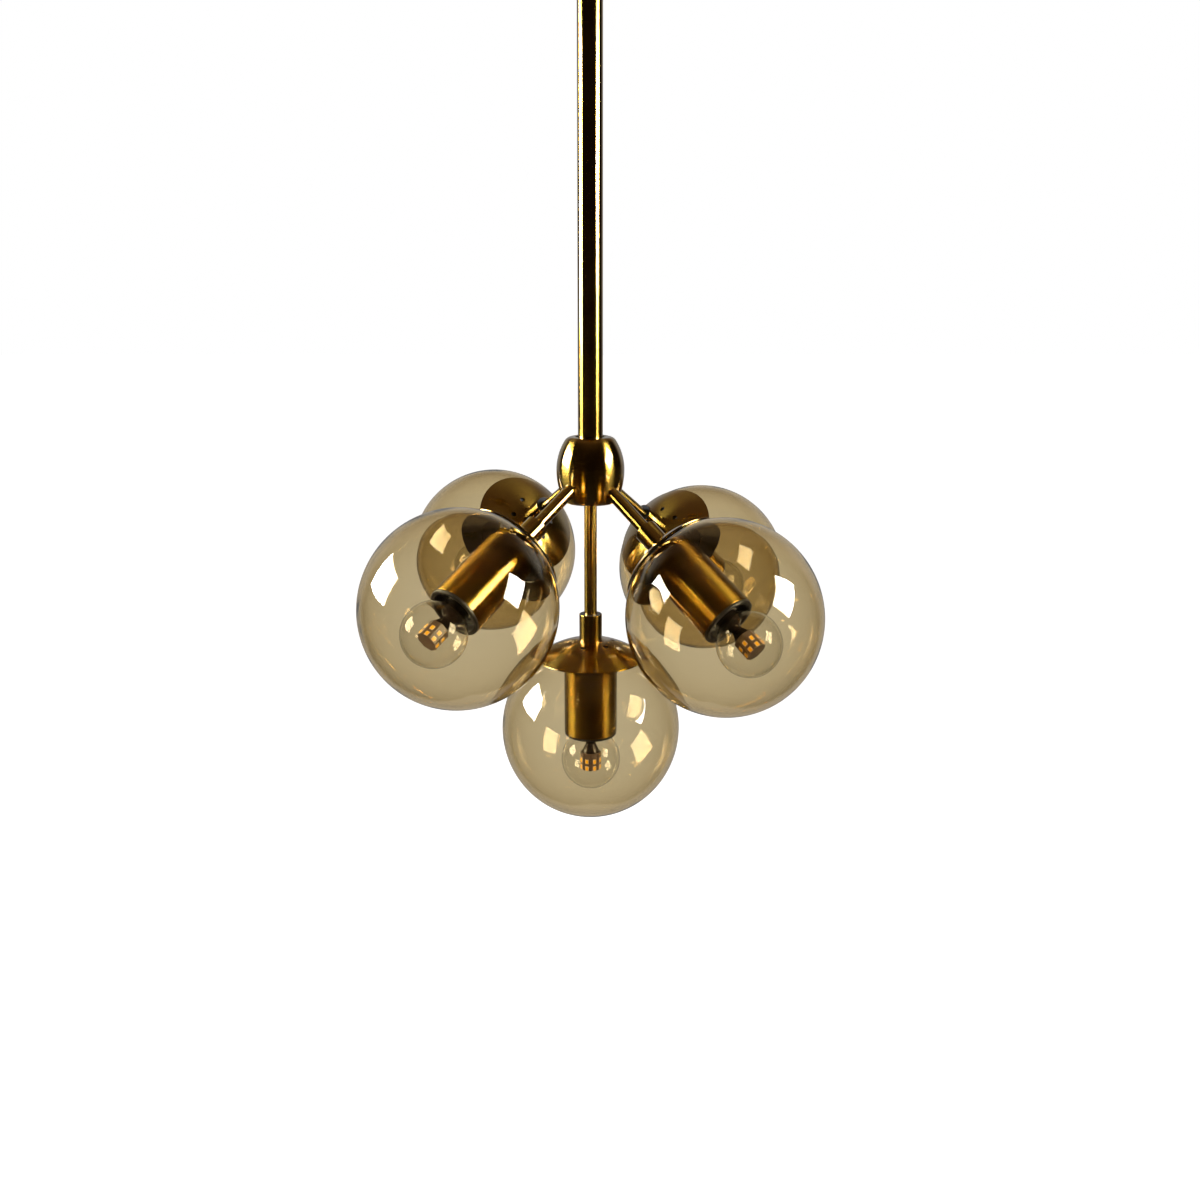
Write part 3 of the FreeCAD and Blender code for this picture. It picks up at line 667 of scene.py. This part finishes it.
def bulb_wall(inset, top):
    """One wall of the bulb from its end up to the neck: the ball, a hollow blend and the neck."""
    ball = BULB_RADIUS - inset
    neck = BULB_NECK_RADIUS - inset
    blend = BULB_BLEND + inset
    rise = math.sqrt((ball + blend) ** 2 - (neck + blend) ** 2)
    meet = math.degrees(math.atan2(neck + blend, rise))
    blended = bow(blend, 180 + meet, 270, 15, (neck + blend, BULB_CENTRE + rise))
    points = bow(ball, 180, meet, GLASS_STEP, (0, BULB_CENTRE))
    points[0] = (0.0, BULB_CENTRE - ball, 0)
    return points + blended[1:] + [(neck, top, 0)]


neck_end = BASE_MOUTH - SEAM
bulb = spin("bulb", outline(
    *bulb_wall(0, neck_end), *reversed(bulb_wall(BULB_WALL, neck_end))), 128)
put_on_lamps("blown_bulb", bulb, CLEAR_GLASS, "clear_glass", "bulb_LAMP", "bulb_glass_LAMP")

# %% Bulb cap with its rolled thread
BASE_RADIUS = 13.2
BASE_SHELL_TOP = 23.0
BASE_TOP = 26.5
BASE_END_RADIUS = 7.5
TIP_RADIUS = 4.5
TIP_LOW = BASE_TOP + 0.1
TIP_TOP = BASE_TOP + 2.3
PITCH = 3.63
THREAD_DEPTH = 0.9
THREAD_STEP = 0.3


def rolled(angle, point):
    """How far the thread pulls the wall in at this angle and height."""
    fade = min(1.0, (point.y - BASE_MOUTH) / PITCH, (BASE_SHELL_TOP - point.y) / PITCH)
    if point.x < BASE_RADIUS - 0.01 or fade <= 0:
        return 0.0
    phase = point.y / PITCH - angle / (2 * math.pi)
    return -THREAD_DEPTH * fade * (0.5 - 0.5 * math.cos(2 * math.pi * phase))


shell = BASE_SHELL_TOP - BASE_MOUTH
rows = round(shell / THREAD_STEP)
wall = [(BASE_RADIUS, BASE_MOUTH + shell * row / rows, 0) for row in range(rows + 1)]
screw_cap = spin("screw_cap", outline(
    (0.0, BASE_MOUTH, 0), *wall, (BASE_RADIUS - THREAD_DEPTH, BASE_SHELL_TOP, 0),
    (BASE_END_RADIUS, BASE_TOP, 0.5), (0.0, BASE_TOP, 0)), 96, rolled)
put_on_lamps("rolled_screw_cap", screw_cap, NICKEL, "nickel_plate", "bulb_LAMP", "bulb_base_LAMP")
tip = spin("tip", outline(
    (0.0, TIP_LOW, 0), (TIP_RADIUS, TIP_LOW, 0.2), (TIP_RADIUS, TIP_TOP, 1.2), (0.0, TIP_TOP, 0)), 48)
put_on_lamps("contact_tip", tip, NICKEL, "nickel_plate", "bulb_LAMP_tip", "bulb_tip_LAMP")

# %% LED post, board and chips
POST_RADIUS = 8.6
WAIST_RADIUS = 4.2
SKIRT_RADIUS = 8.0
SKIRT_TOP_RADIUS = 4.8
SKIRT_HEIGHT = 7.0               # this and the next three are over the drum
WAIST_LOW = 8.5
WAIST_TOP = 10.5
POST_LOW = 14.0
DRUM_TOP = -23.5
DRUM_END = -38.0
DRUM_WIDTH = 16.4                # across the flats
DRUM_SIDES = 8
DRUM_INSET = 1.4
DRUM_MARGIN = 3.0                # bare board over the upper row of chips
DRUM_OVERLAP = 1.0               # how far the drum reaches up round the post
CHIP = Vector((0.7, 3.0, 3.8))   # thickness, width and length
CHIP_SUNK = 0.3
CHIP_FACE = 0.45
CHIP_EDGE = 0.3                  # the frame that shows round the phosphor
PHOSPHOR_LOW = 0.2
ROW_PITCH = 6.0
END_RING = 4.5
END_CHIPS = 4
HALF_A_SIDE = Matrix.Rotation(math.pi / DRUM_SIDES, 4, "Z")


def chip_tree():
    """Rows of chips round a drum, and a ring of them on its end."""
    tree = bpy.data.node_groups.new("chips on a drum", "GeometryNodeTree")
    given_sockets = (
        ("Chip", "Geometry"), ("Sides", "Int"), ("Drum radius", "Float"), ("Middle", "Float"),
        ("Row pitch", "Float"), ("End chips", "Int"), ("End ring", "Float"),
        ("End height", "Float"), ("Material", "Material"))
    for name, kind in given_sockets:
        tree.interface.new_socket(name, in_out="INPUT", socket_type="NodeSocket" + kind)
    tree.interface.new_socket("Chips", in_out="OUTPUT", socket_type="NodeSocketGeometry")
    given = add(tree, "NodeGroupInput").outputs
    index = add(tree, "GeometryNodeInputIndex").outputs[0]

    def maths(operation, first, second):
        return add(tree, "ShaderNodeMath", {0: first, 1: second}, operation=operation).outputs[0]

    def upward(height):
        return add(tree, "ShaderNodeCombineXYZ", {"Z": height}).outputs[0]

    def ring(count, radius, tilt):
        turn = maths("DIVIDE", maths("MULTIPLY", index, 2 * math.pi), count)
        turn = add(tree, "ShaderNodeCombineXYZ", {"Y": tilt, "Z": turn}).outputs[0]
        circle = add(tree, "GeometryNodeMeshCircle", {"Vertices": count, "Radius": radius}).outputs[0]
        return add(tree, "GeometryNodeInstanceOnPoints", {
            "Points": circle, "Instance": given["Chip"], "Rotation": turn}).outputs[0]

    shelf = add(tree, "GeometryNodeMeshLine", {
        "Count": 2, "Offset": upward(given["Row pitch"])}).outputs[0]
    start = maths("SUBTRACT", given["Middle"], maths("MULTIPLY", given["Row pitch"], 0.5))
    shelf = add(tree, "GeometryNodeTransform", {
        "Geometry": shelf, "Translation": upward(start)}).outputs[0]
    side_ring = ring(given["Sides"], given["Drum radius"], 0.0)
    sides = add(tree, "GeometryNodeInstanceOnPoints", {
        "Points": shelf, "Instance": side_ring}).outputs[0]
    ends = add(tree, "GeometryNodeTransform", {
        "Geometry": ring(given["End chips"], given["End ring"], math.pi / 2),
        "Translation": upward(given["End height"])}).outputs[0]
    joined_up = add(tree, "GeometryNodeJoinGeometry")
    tree.links.new(sides, joined_up.inputs[0])
    tree.links.new(ends, joined_up.inputs[0])
    real = add(tree, "GeometryNodeRealizeInstances", {"Geometry": joined_up.outputs[0]}).outputs[0]
    done = add(tree, "GeometryNodeSetMaterial", {
        "Geometry": real, "Material": given["Material"]}).outputs[0]
    add(tree, "NodeGroupOutput", {"Chips": done})
    return tree


def bevelled(name, bm, bevel):
    """Turns a sharp solid into a mesh with bevelled edges."""
    bmesh.ops.bevel(bm, geom=bm.edges, offset=bevel * MM, segments=2, affect="EDGES", profile=0.5)
    mesh = bpy.data.meshes.new(name)
    bm.to_mesh(mesh)
    bm.free()
    return mesh


def block(name, low, high, bevel):
    """A box between two corners."""
    bm = bmesh.new()
    bmesh.ops.create_cube(bm, size=1.0)
    for vertex in bm.verts:
        vertex.co = Vector((low[i] + (vertex.co[i] + 0.5) * (high[i] - low[i])) * MM for i in range(3))
    return bevelled(name, bm, bevel)


def prism(name, width, low, high, bevel):
    """A block with as many sides as the drum."""
    bm = bmesh.new()
    radius = width / 2 / math.cos(math.pi / DRUM_SIDES)
    middle = Matrix.Translation((0, 0, (low + high) / 2 * MM))
    bmesh.ops.create_cone(
        bm, cap_ends=True, segments=DRUM_SIDES, radius1=radius * MM, radius2=radius * MM,
        depth=(high - low) * MM, matrix=middle @ HALF_A_SIDE)
    return bevelled(name, bm, bevel)


CHIP_TREE = chip_tree()
drum_middle = DRUM_END + (DRUM_TOP - DRUM_END - DRUM_MARGIN) / 2
CHIP_SETTING = {
    "Sides": DRUM_SIDES, "Drum_radius": DRUM_WIDTH / 2 * MM, "Middle": drum_middle * MM,
    "Row_pitch": ROW_PITCH * MM, "End_chips": END_CHIPS, "End_ring": END_RING * MM,
    "End_height": (DRUM_END + DRUM_INSET) * MM}
post = spin("post", outline(
    (0.0, DRUM_TOP, 0), (SKIRT_RADIUS, DRUM_TOP, 0.5),
    (SKIRT_TOP_RADIUS, DRUM_TOP + SKIRT_HEIGHT, 1.5), (WAIST_RADIUS, DRUM_TOP + WAIST_LOW, 1.0),
    (WAIST_RADIUS, DRUM_TOP + WAIST_TOP, 1.5), (POST_RADIUS, DRUM_TOP + POST_LOW, 1.5),
    (POST_RADIUS, neck_end, 0.2), (0.0, neck_end, 0)), 64)
put_on_lamps("glazed_post", shaded(post), POST, "circuit_board", "bulb_LAMP", "led_module_LAMP")
drum = prism("drum", DRUM_WIDTH, DRUM_END + 0.6, DRUM_TOP + DRUM_OVERLAP, 0.25)
drum.transform(HALF_A_SIDE)
put_on_lamps("board_drum", shaded(drum), BOARD, "circuit_board", "bulb_LAMP")
chip_corner = Vector((0, CHIP.y / 2, CHIP.z / 2))
face_corner = chip_corner - Vector((0, CHIP_EDGE, CHIP_EDGE))
frame_block = block(
    "chip_frame", Vector((-CHIP_SUNK, 0, 0)) - chip_corner, Vector((CHIP_FACE, 0, 0)) + chip_corner, 0.12)
frames = grow("chip_frames", frame_block, CHIP_TREE, Material=CHIP_FRAME, **CHIP_SETTING)
frames.transform(HALF_A_SIDE)
put_on_lamps("chip_frames", shaded(frames), CHIP_FRAME, "circuit_board", "bulb_LAMP")
drop = block(
    "phosphor", Vector((PHOSPHOR_LOW, 0, 0)) - face_corner, Vector((CHIP.x, 0, 0)) + face_corner, 0.2)
drops = grow("phosphor_caps", drop, CHIP_TREE, Material=PHOSPHOR, **CHIP_SETTING)
drops.transform(HALF_A_SIDE)
put_on_lamps("phosphor_caps", shaded(drops), PHOSPHOR, "circuit_board", "bulb_LAMP")

# %% [markdown]
# ## Hub and stem
#
# The hub is turned from bar. Its side is two shallow arcs that meet at the belly, so the streaks of
# light on it bend inwards at both ends, more so at the top. A recess round the stem hides the joint;
# its floor is painted black, a painted shade for the recess. The stem is drawn tube with a sleeve
# between its two lengths.

# %% Hub
HUB_BELLY = 28.1
HUB_END_RADIUS = 21.8
HUB_TOP_RADIUS = 19.0
HUB_HALF = 27.5
HUB_ROUND = 5.0
HUB_TOP_ROUND = 7.0
RECESS_RADIUS = 12.5
RECESS_DEPTH = 1.6
STEM_RADIUS = 10.3
STEM_WALL = 1.2
STEM_SEAT = 11.0


def hub_side(end_radius, rounding):
    """An end's side arc and rounding: their radii, their middles and the angle where they meet."""
    bulge = HUB_BELLY - end_radius
    side = (HUB_HALF ** 2 + bulge ** 2) / (2 * bulge)
    height = HUB_HALF - rounding
    out = math.sqrt((side - rounding) ** 2 - height ** 2)
    meet = math.degrees(math.atan2(out, height))
    return side, HUB_BELLY - side, HUB_BELLY - side + out, height, meet


low_side, low_centre, low_out, low_height, low_meet = hub_side(HUB_END_RADIUS, HUB_ROUND)
top_side, top_centre, top_out, top_height, top_meet = hub_side(HUB_TOP_RADIUS, HUB_TOP_ROUND)
recess_floor = HUB_HALF - RECESS_DEPTH
barrel = [
    (0.0, -HUB_HALF, 0),
    *bow(HUB_ROUND, 180, 180 - low_meet, 8, (low_out, -low_height))[:-1],
    *bow(low_side, 180 - low_meet, 90, 2, (low_centre, 0))[:-1],
    *bow(top_side, 90, top_meet, 2, (top_centre, 0)),
    *bow(HUB_TOP_ROUND, top_meet, 0, 8, (top_out, top_height))[1:],
    (RECESS_RADIUS, HUB_HALF, 0.25), (RECESS_RADIUS, recess_floor, 0.2),
    (STEM_RADIUS + SEAM, recess_floor, 0.1), (STEM_RADIUS + SEAM, recess_floor - STEM_SEAT, 0.1),
    (0.0, recess_floor - STEM_SEAT, 0)]
hub = shaded(spin("turned_hub", outline(*barrel), 144))
# Painted shade: the recess's floor round the stem is near-black.
two_finishes(
    hub, BRASS, PAINTED_SHADE_BLACK, lambda face: face.center.z > (recess_floor - ON_SURFACE) * MM
    and face.center.xy.length < RECESS_RADIUS * MM)
hub.transform(Matrix.Translation(HUB_CENTRE))
put("turned_hub", hub, BRASS, "antique_brass", FRAME_BODY, "hub")

# %% Stem


def heights(node):
    """The lowest and the highest height of a node, in millimetres."""
    return [corner.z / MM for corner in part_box(node)]


for node in ("lower_stem", "upper_stem"):
    low, high = heights(node)
    bore = STEM_RADIUS - STEM_WALL
    drawn = spin(f"drawn_{node}", outline(
        (STEM_RADIUS, low, 0.12), (STEM_RADIUS, high, 0.12),
        (bore, high, 0.1), (bore, low, 0.1)), 96)
    put(f"drawn_{node}", shaded(drawn), BRASS, "antique_brass", FRAME_BODY, node)
SPIGOT = 10.0
SLEEVE_BORE = 6.0
spigot_radius = STEM_RADIUS - STEM_WALL - SEAM
low, high = heights("stem_coupler")
sleeve = spin("stem_sleeve", outline(
    (SLEEVE_BORE, low, 0.1), (spigot_radius, low, 0.3), (spigot_radius, low + SPIGOT, 0.1),
    (STEM_RADIUS, low + SPIGOT, 0.3), (STEM_RADIUS, high - SPIGOT, 0.3),
    (spigot_radius, high - SPIGOT, 0.1), (spigot_radius, high, 0.3), (SLEEVE_BORE, high, 0.1)), 96)
put("stem_sleeve", shaded(sleeve), BRASS, "antique_brass", FRAME_BODY, "stem_coupler")

# %% [markdown]
# ## Ceiling parts
#
# The canopy is a spun cup that hides the bracket. The hang-straight ball sits in its nylon ring and
# carries the stem through a neck.

# %% Canopy and ball
CANOPY_RADIUS = 60.0
CANOPY_DEPTH = 30.0
CANOPY_WALL = 1.2
CANOPY_ROUND = 4.0
CANOPY_HOLE = 12.6
CANOPY_RIM = -0.5                # the ceiling is at height 0
BALL_CENTRE = -18.3
BALL_RADIUS = 15.0
BALL_FLAT = 6.0                  # height of the flat over the ball's centre
BALL_BORE = 3.5
BALL_NECK = 6.5
NECK_FOOT = 3.0
STEM_TOP = -38.8
canopy = spin("canopy", outline(
    (CANOPY_HOLE, -CANOPY_DEPTH, 0.3), (CANOPY_RADIUS, -CANOPY_DEPTH, CANOPY_ROUND),
    (CANOPY_RADIUS, CANOPY_RIM, 0.3), (CANOPY_RADIUS - CANOPY_WALL, CANOPY_RIM, 0.3),
    (CANOPY_RADIUS - CANOPY_WALL, CANOPY_WALL - CANOPY_DEPTH, CANOPY_ROUND - CANOPY_WALL),
    (CANOPY_HOLE, CANOPY_WALL - CANOPY_DEPTH, 0.3)), 144)
put("spun_canopy", shaded(canopy), BRASS, "antique_brass", "ceiling_fixing", "canopy")
flat_angle = math.degrees(math.acos(BALL_FLAT / BALL_RADIUS))
neck_angle = 180 - angle_at(BALL_RADIUS, BALL_NECK)
ball_side = bow(BALL_RADIUS, flat_angle, neck_angle, 4, (0, BALL_CENTRE))
swivel = spin("ball", outline(
    (BALL_BORE, STEM_TOP - SPIGOT, 0.1), (BALL_BORE, BALL_CENTRE + BALL_FLAT, 0.3), *ball_side,
    (BALL_NECK, STEM_TOP + NECK_FOOT, 0.3), (STEM_RADIUS, STEM_TOP + NECK_FOOT, 0.3),
    (STEM_RADIUS, STEM_TOP, 0.3), (spigot_radius, STEM_TOP, 0.1),
    (spigot_radius, STEM_TOP - SPIGOT, 0.3)), 96)
put("hang_straight_ball", shaded(swivel), BRASS, "antique_brass", FRAME_BODY, "swivel_ball")

# %% [markdown]
# ## Studio
#
# Brass and clear glass show little of themselves: they show the room. The photograph's room was a
# white backdrop behind the lamp, a large softbox on the left, another on the right, a dim brown
# ceiling, and darkness round the camera. The world makes them by direction, so that the brass
# stays dark between its streaks. It is plain white to the camera, and nearly so to what the
# camera sees straight through the glass.

# %% World
DARK_SIDE = colour("#1c150f")
CEILING = colour("#65503a")
DARK_TO_CEILING = (0.6, 1.0)     # the height of a direction, where 1 is straight up
LIT_TO_CEILING = (0.2, 0.6)
BACKDROP = 0.35
TABLE = 0.25
BEHIND_GLASS = 0.8
BRASS_IN_GLOBE = 4               # surfaces passed in and out of a globe by way of the brass
BACKDROP_FROM = math.cos(math.radians(58))
BACKDROP_FULL = math.cos(math.radians(43))


def seen_straight(tree, white):
    """A backdrop that the camera sees by itself or through glass alone, and 1 where it does."""
    path = add(tree, "ShaderNodeLightPath").outputs
    bounces = add(tree, "ShaderNodeMath", {
        0: path["Glossy Depth"], 1: path["Diffuse Depth"]}, operation="ADD").outputs[0]
    none = add(tree, "ShaderNodeMath", {0: bounces, 1: 0.5}, operation="LESS_THAN").outputs[0]
    through = add(tree, "ShaderNodeMath", {
        0: path["Is Transmission Ray"], 1: none}, operation="MULTIPLY").outputs[0]
    straight = add(tree, "ShaderNodeMath", {
        0: path["Is Camera Ray"], 1: through}, operation="MAXIMUM").outputs[0]
    shown = add(tree, "ShaderNodeMix", {
        "Factor": path["Is Camera Ray"], "A": BEHIND_GLASS, "B": white}).outputs["Result"]
    return shown, straight


def blend(tree, share, first, second):
    """A colour between two others."""
    return add(tree, "ShaderNodeMix", {
        "Factor": share, "A": first, "B": second}, data_type="RGBA").outputs["Result"]


def room(tree, way, lit):
    """What a mirror shows in a direction: the backdrop, the dim ceiling or the dark room.

    The backdrop is brighter behind glass, apart from what the brass inside a globe mirrors.
    """
    apart = add(tree, "ShaderNodeSeparateXYZ", {0: way}).outputs
    level = add(tree, "ShaderNodeCombineXYZ", {"X": apart["X"], "Y": apart["Y"]}).outputs[0]
    level = add(tree, "ShaderNodeVectorMath", {0: level}, operation="LENGTH").outputs["Value"]
    behind = add(tree, "ShaderNodeMath", {0: apart["Y"], 1: level}, operation="DIVIDE").outputs[0]
    share = add(tree, "ShaderNodeMapRange", {
        "Value": behind, "From Min": BACKDROP_FROM, "From Max": BACKDROP_FULL},
        interpolation_type="SMOOTHSTEP").outputs["Result"]
    path = add(tree, "ShaderNodeLightPath").outputs
    from_brass = add(tree, "ShaderNodeMath", {
        0: path["Transmission Depth"], 1: BRASS_IN_GLOBE, 2: 0.5}, operation="COMPARE").outputs[0]
    through = add(tree, "ShaderNodeMath", {
        0: path["Is Transmission Ray"], 1: from_brass}, operation="SUBTRACT").outputs[0]
    through = add(tree, "ShaderNodeMath", {0: through, 1: 0.0}, operation="MAXIMUM").outputs[0]
    lit = add(tree, "ShaderNodeMix", {
        "Factor": through, "A": lit, "B": BEHIND_GLASS}).outputs["Result"]
    halves = []
    for below, (start, end) in ((DARK_SIDE, DARK_TO_CEILING), (lit, LIT_TO_CEILING)):
        above = add(tree, "ShaderNodeMapRange", {
            "Value": apart["Z"], "From Min": start, "From Max": end},
            interpolation_type="SMOOTHSTEP").outputs["Result"]
        halves.append(blend(tree, above, below, CEILING))
    return blend(tree, share, *halves)


scene = bpy.context.scene
scene.view_settings.view_transform = "Standard"
world = bpy.data.worlds.new("studio")
scene.world = world
world.use_nodes = True
sky = world.node_tree
way_out = add(sky, "ShaderNodeTexCoord").outputs["Generated"]
white, straight = seen_straight(sky, 1.0)
shown = blend(sky, straight, room(sky, way_out, BACKDROP), white)
sky.links.new(shown, sky.nodes["Background"].inputs["Color"])

# %% Softboxes
SOFTBOX_RADIANCE = 40


def softbox(name, place, long_side, width, height, radiance):
    """A rectangular lamp that faces the lamps. Radiance is what a mirror would show of it."""
    lamp = bpy.data.lights.new(name, "AREA")
    lamp.shape = "RECTANGLE"
    lamp.size = width
    lamp.size_y = height
    lamp.energy = radiance * math.pi * width * height
    back = Vector(place).normalized()
    along = (Vector(long_side) - back * back.dot(long_side)).normalized()
    turn = Matrix((along, back.cross(along), back)).transposed()
    obj = bpy.data.objects.new(name, lamp)
    obj.matrix_world = Matrix.Translation(HUB_CENTRE + Vector(place)) @ turn.to_4x4()
    scene.collection.objects.link(obj)
    return obj


softbox("left_softbox", (-1.31, 0.07, 0.33), (0.1, 1.0, 0.1), 0.80, 0.60, SOFTBOX_RADIANCE)
softbox("right_softbox", (1.185, -0.39, 0.40), (0.055, 0.766, 0.641), 0.70, 0.50, SOFTBOX_RADIANCE)

# %% [markdown]
# ## Floor
#
# The floor is a sweep of matt white paper that runs into the backdrop. It takes the lamp's soft
# shadow. Its own light brings it to the backdrop's white for the camera alone: a mirror sees it as
# dim, because light thrown up from it would wash out the brass.

# %% Floor
FLOOR_Z = -1.6
FLOOR_HALF = 20
SHADE_TO = 1.8                   # metres from the lamp's foot
WHITE_FROM = 4.0
NEAR_WHITE = 0.86
floor_mesh = bpy.data.meshes.new("floor")
bm = bmesh.new()
bmesh.ops.create_grid(bm, x_segments=1, y_segments=1, size=FLOOR_HALF)
bmesh.ops.translate(bm, verts=bm.verts, vec=(0, 0, FLOOR_Z))
bm.to_mesh(floor_mesh)
bm.free()
floor = link("floor", floor_mesh)
paper, tree, shader = new_material("matt_paper", Roughness=0.9)
solid = add(tree, "ShaderNodeTexCoord").outputs["Object"]
far = add(tree, "ShaderNodeVectorMath", {0: solid}, operation="LENGTH").outputs["Value"]
fade = add(tree, "ShaderNodeMapRange", {
    "Value": far, "From Min": SHADE_TO, "From Max": WHITE_FROM, "To Min": NEAR_WHITE,
    "To Max": 1.0}).outputs["Result"]
white, straight = seen_straight(tree, fade)
glow = blend(tree, straight, room(tree, solid, TABLE), white)
tree.links.new(glow, shader.inputs["Emission Color"])
in_camera = add(tree, "ShaderNodeLightPath").outputs["Is Camera Ray"]
lit_paper = blend(tree, in_camera, colour("#000000"), colour("#e8e8e8"))
tree.links.new(lit_paper, shader.inputs["Base Color"])
shader.inputs["Emission Strength"].default_value = 1.0
floor_mesh.materials.append(paper)

# %% [markdown]
# ## Camera
#
# The photograph's camera was fitted to the outlines of the five globes. It looks down a little
# from above the hub, and the frame's middle is moved up, as the lamp hangs in its upper half.

# %% Photograph's camera
PHOTO_SIZE = 1200
FOCAL_PIXELS = 1223.2
SENSOR_MM = 36
CAMERA_OFFSET = Vector((0.00789, -0.9978, 0.1530))
CAMERA_PITCH = math.radians(8.649)
CAMERA_SHIFT = -0.11             # in widths of the frame
camera = bpy.data.objects.new("camera", bpy.data.cameras.new("camera"))
scene.collection.objects.link(camera)
camera.data.sensor_width = SENSOR_MM
camera.data.lens = SENSOR_MM * FOCAL_PIXELS / PHOTO_SIZE
camera.data.shift_y = CAMERA_SHIFT
camera.location = HUB_CENTRE + CAMERA_OFFSET
camera.rotation_euler = (math.pi / 2 - CAMERA_PITCH, 0, 0)
scene.camera = camera
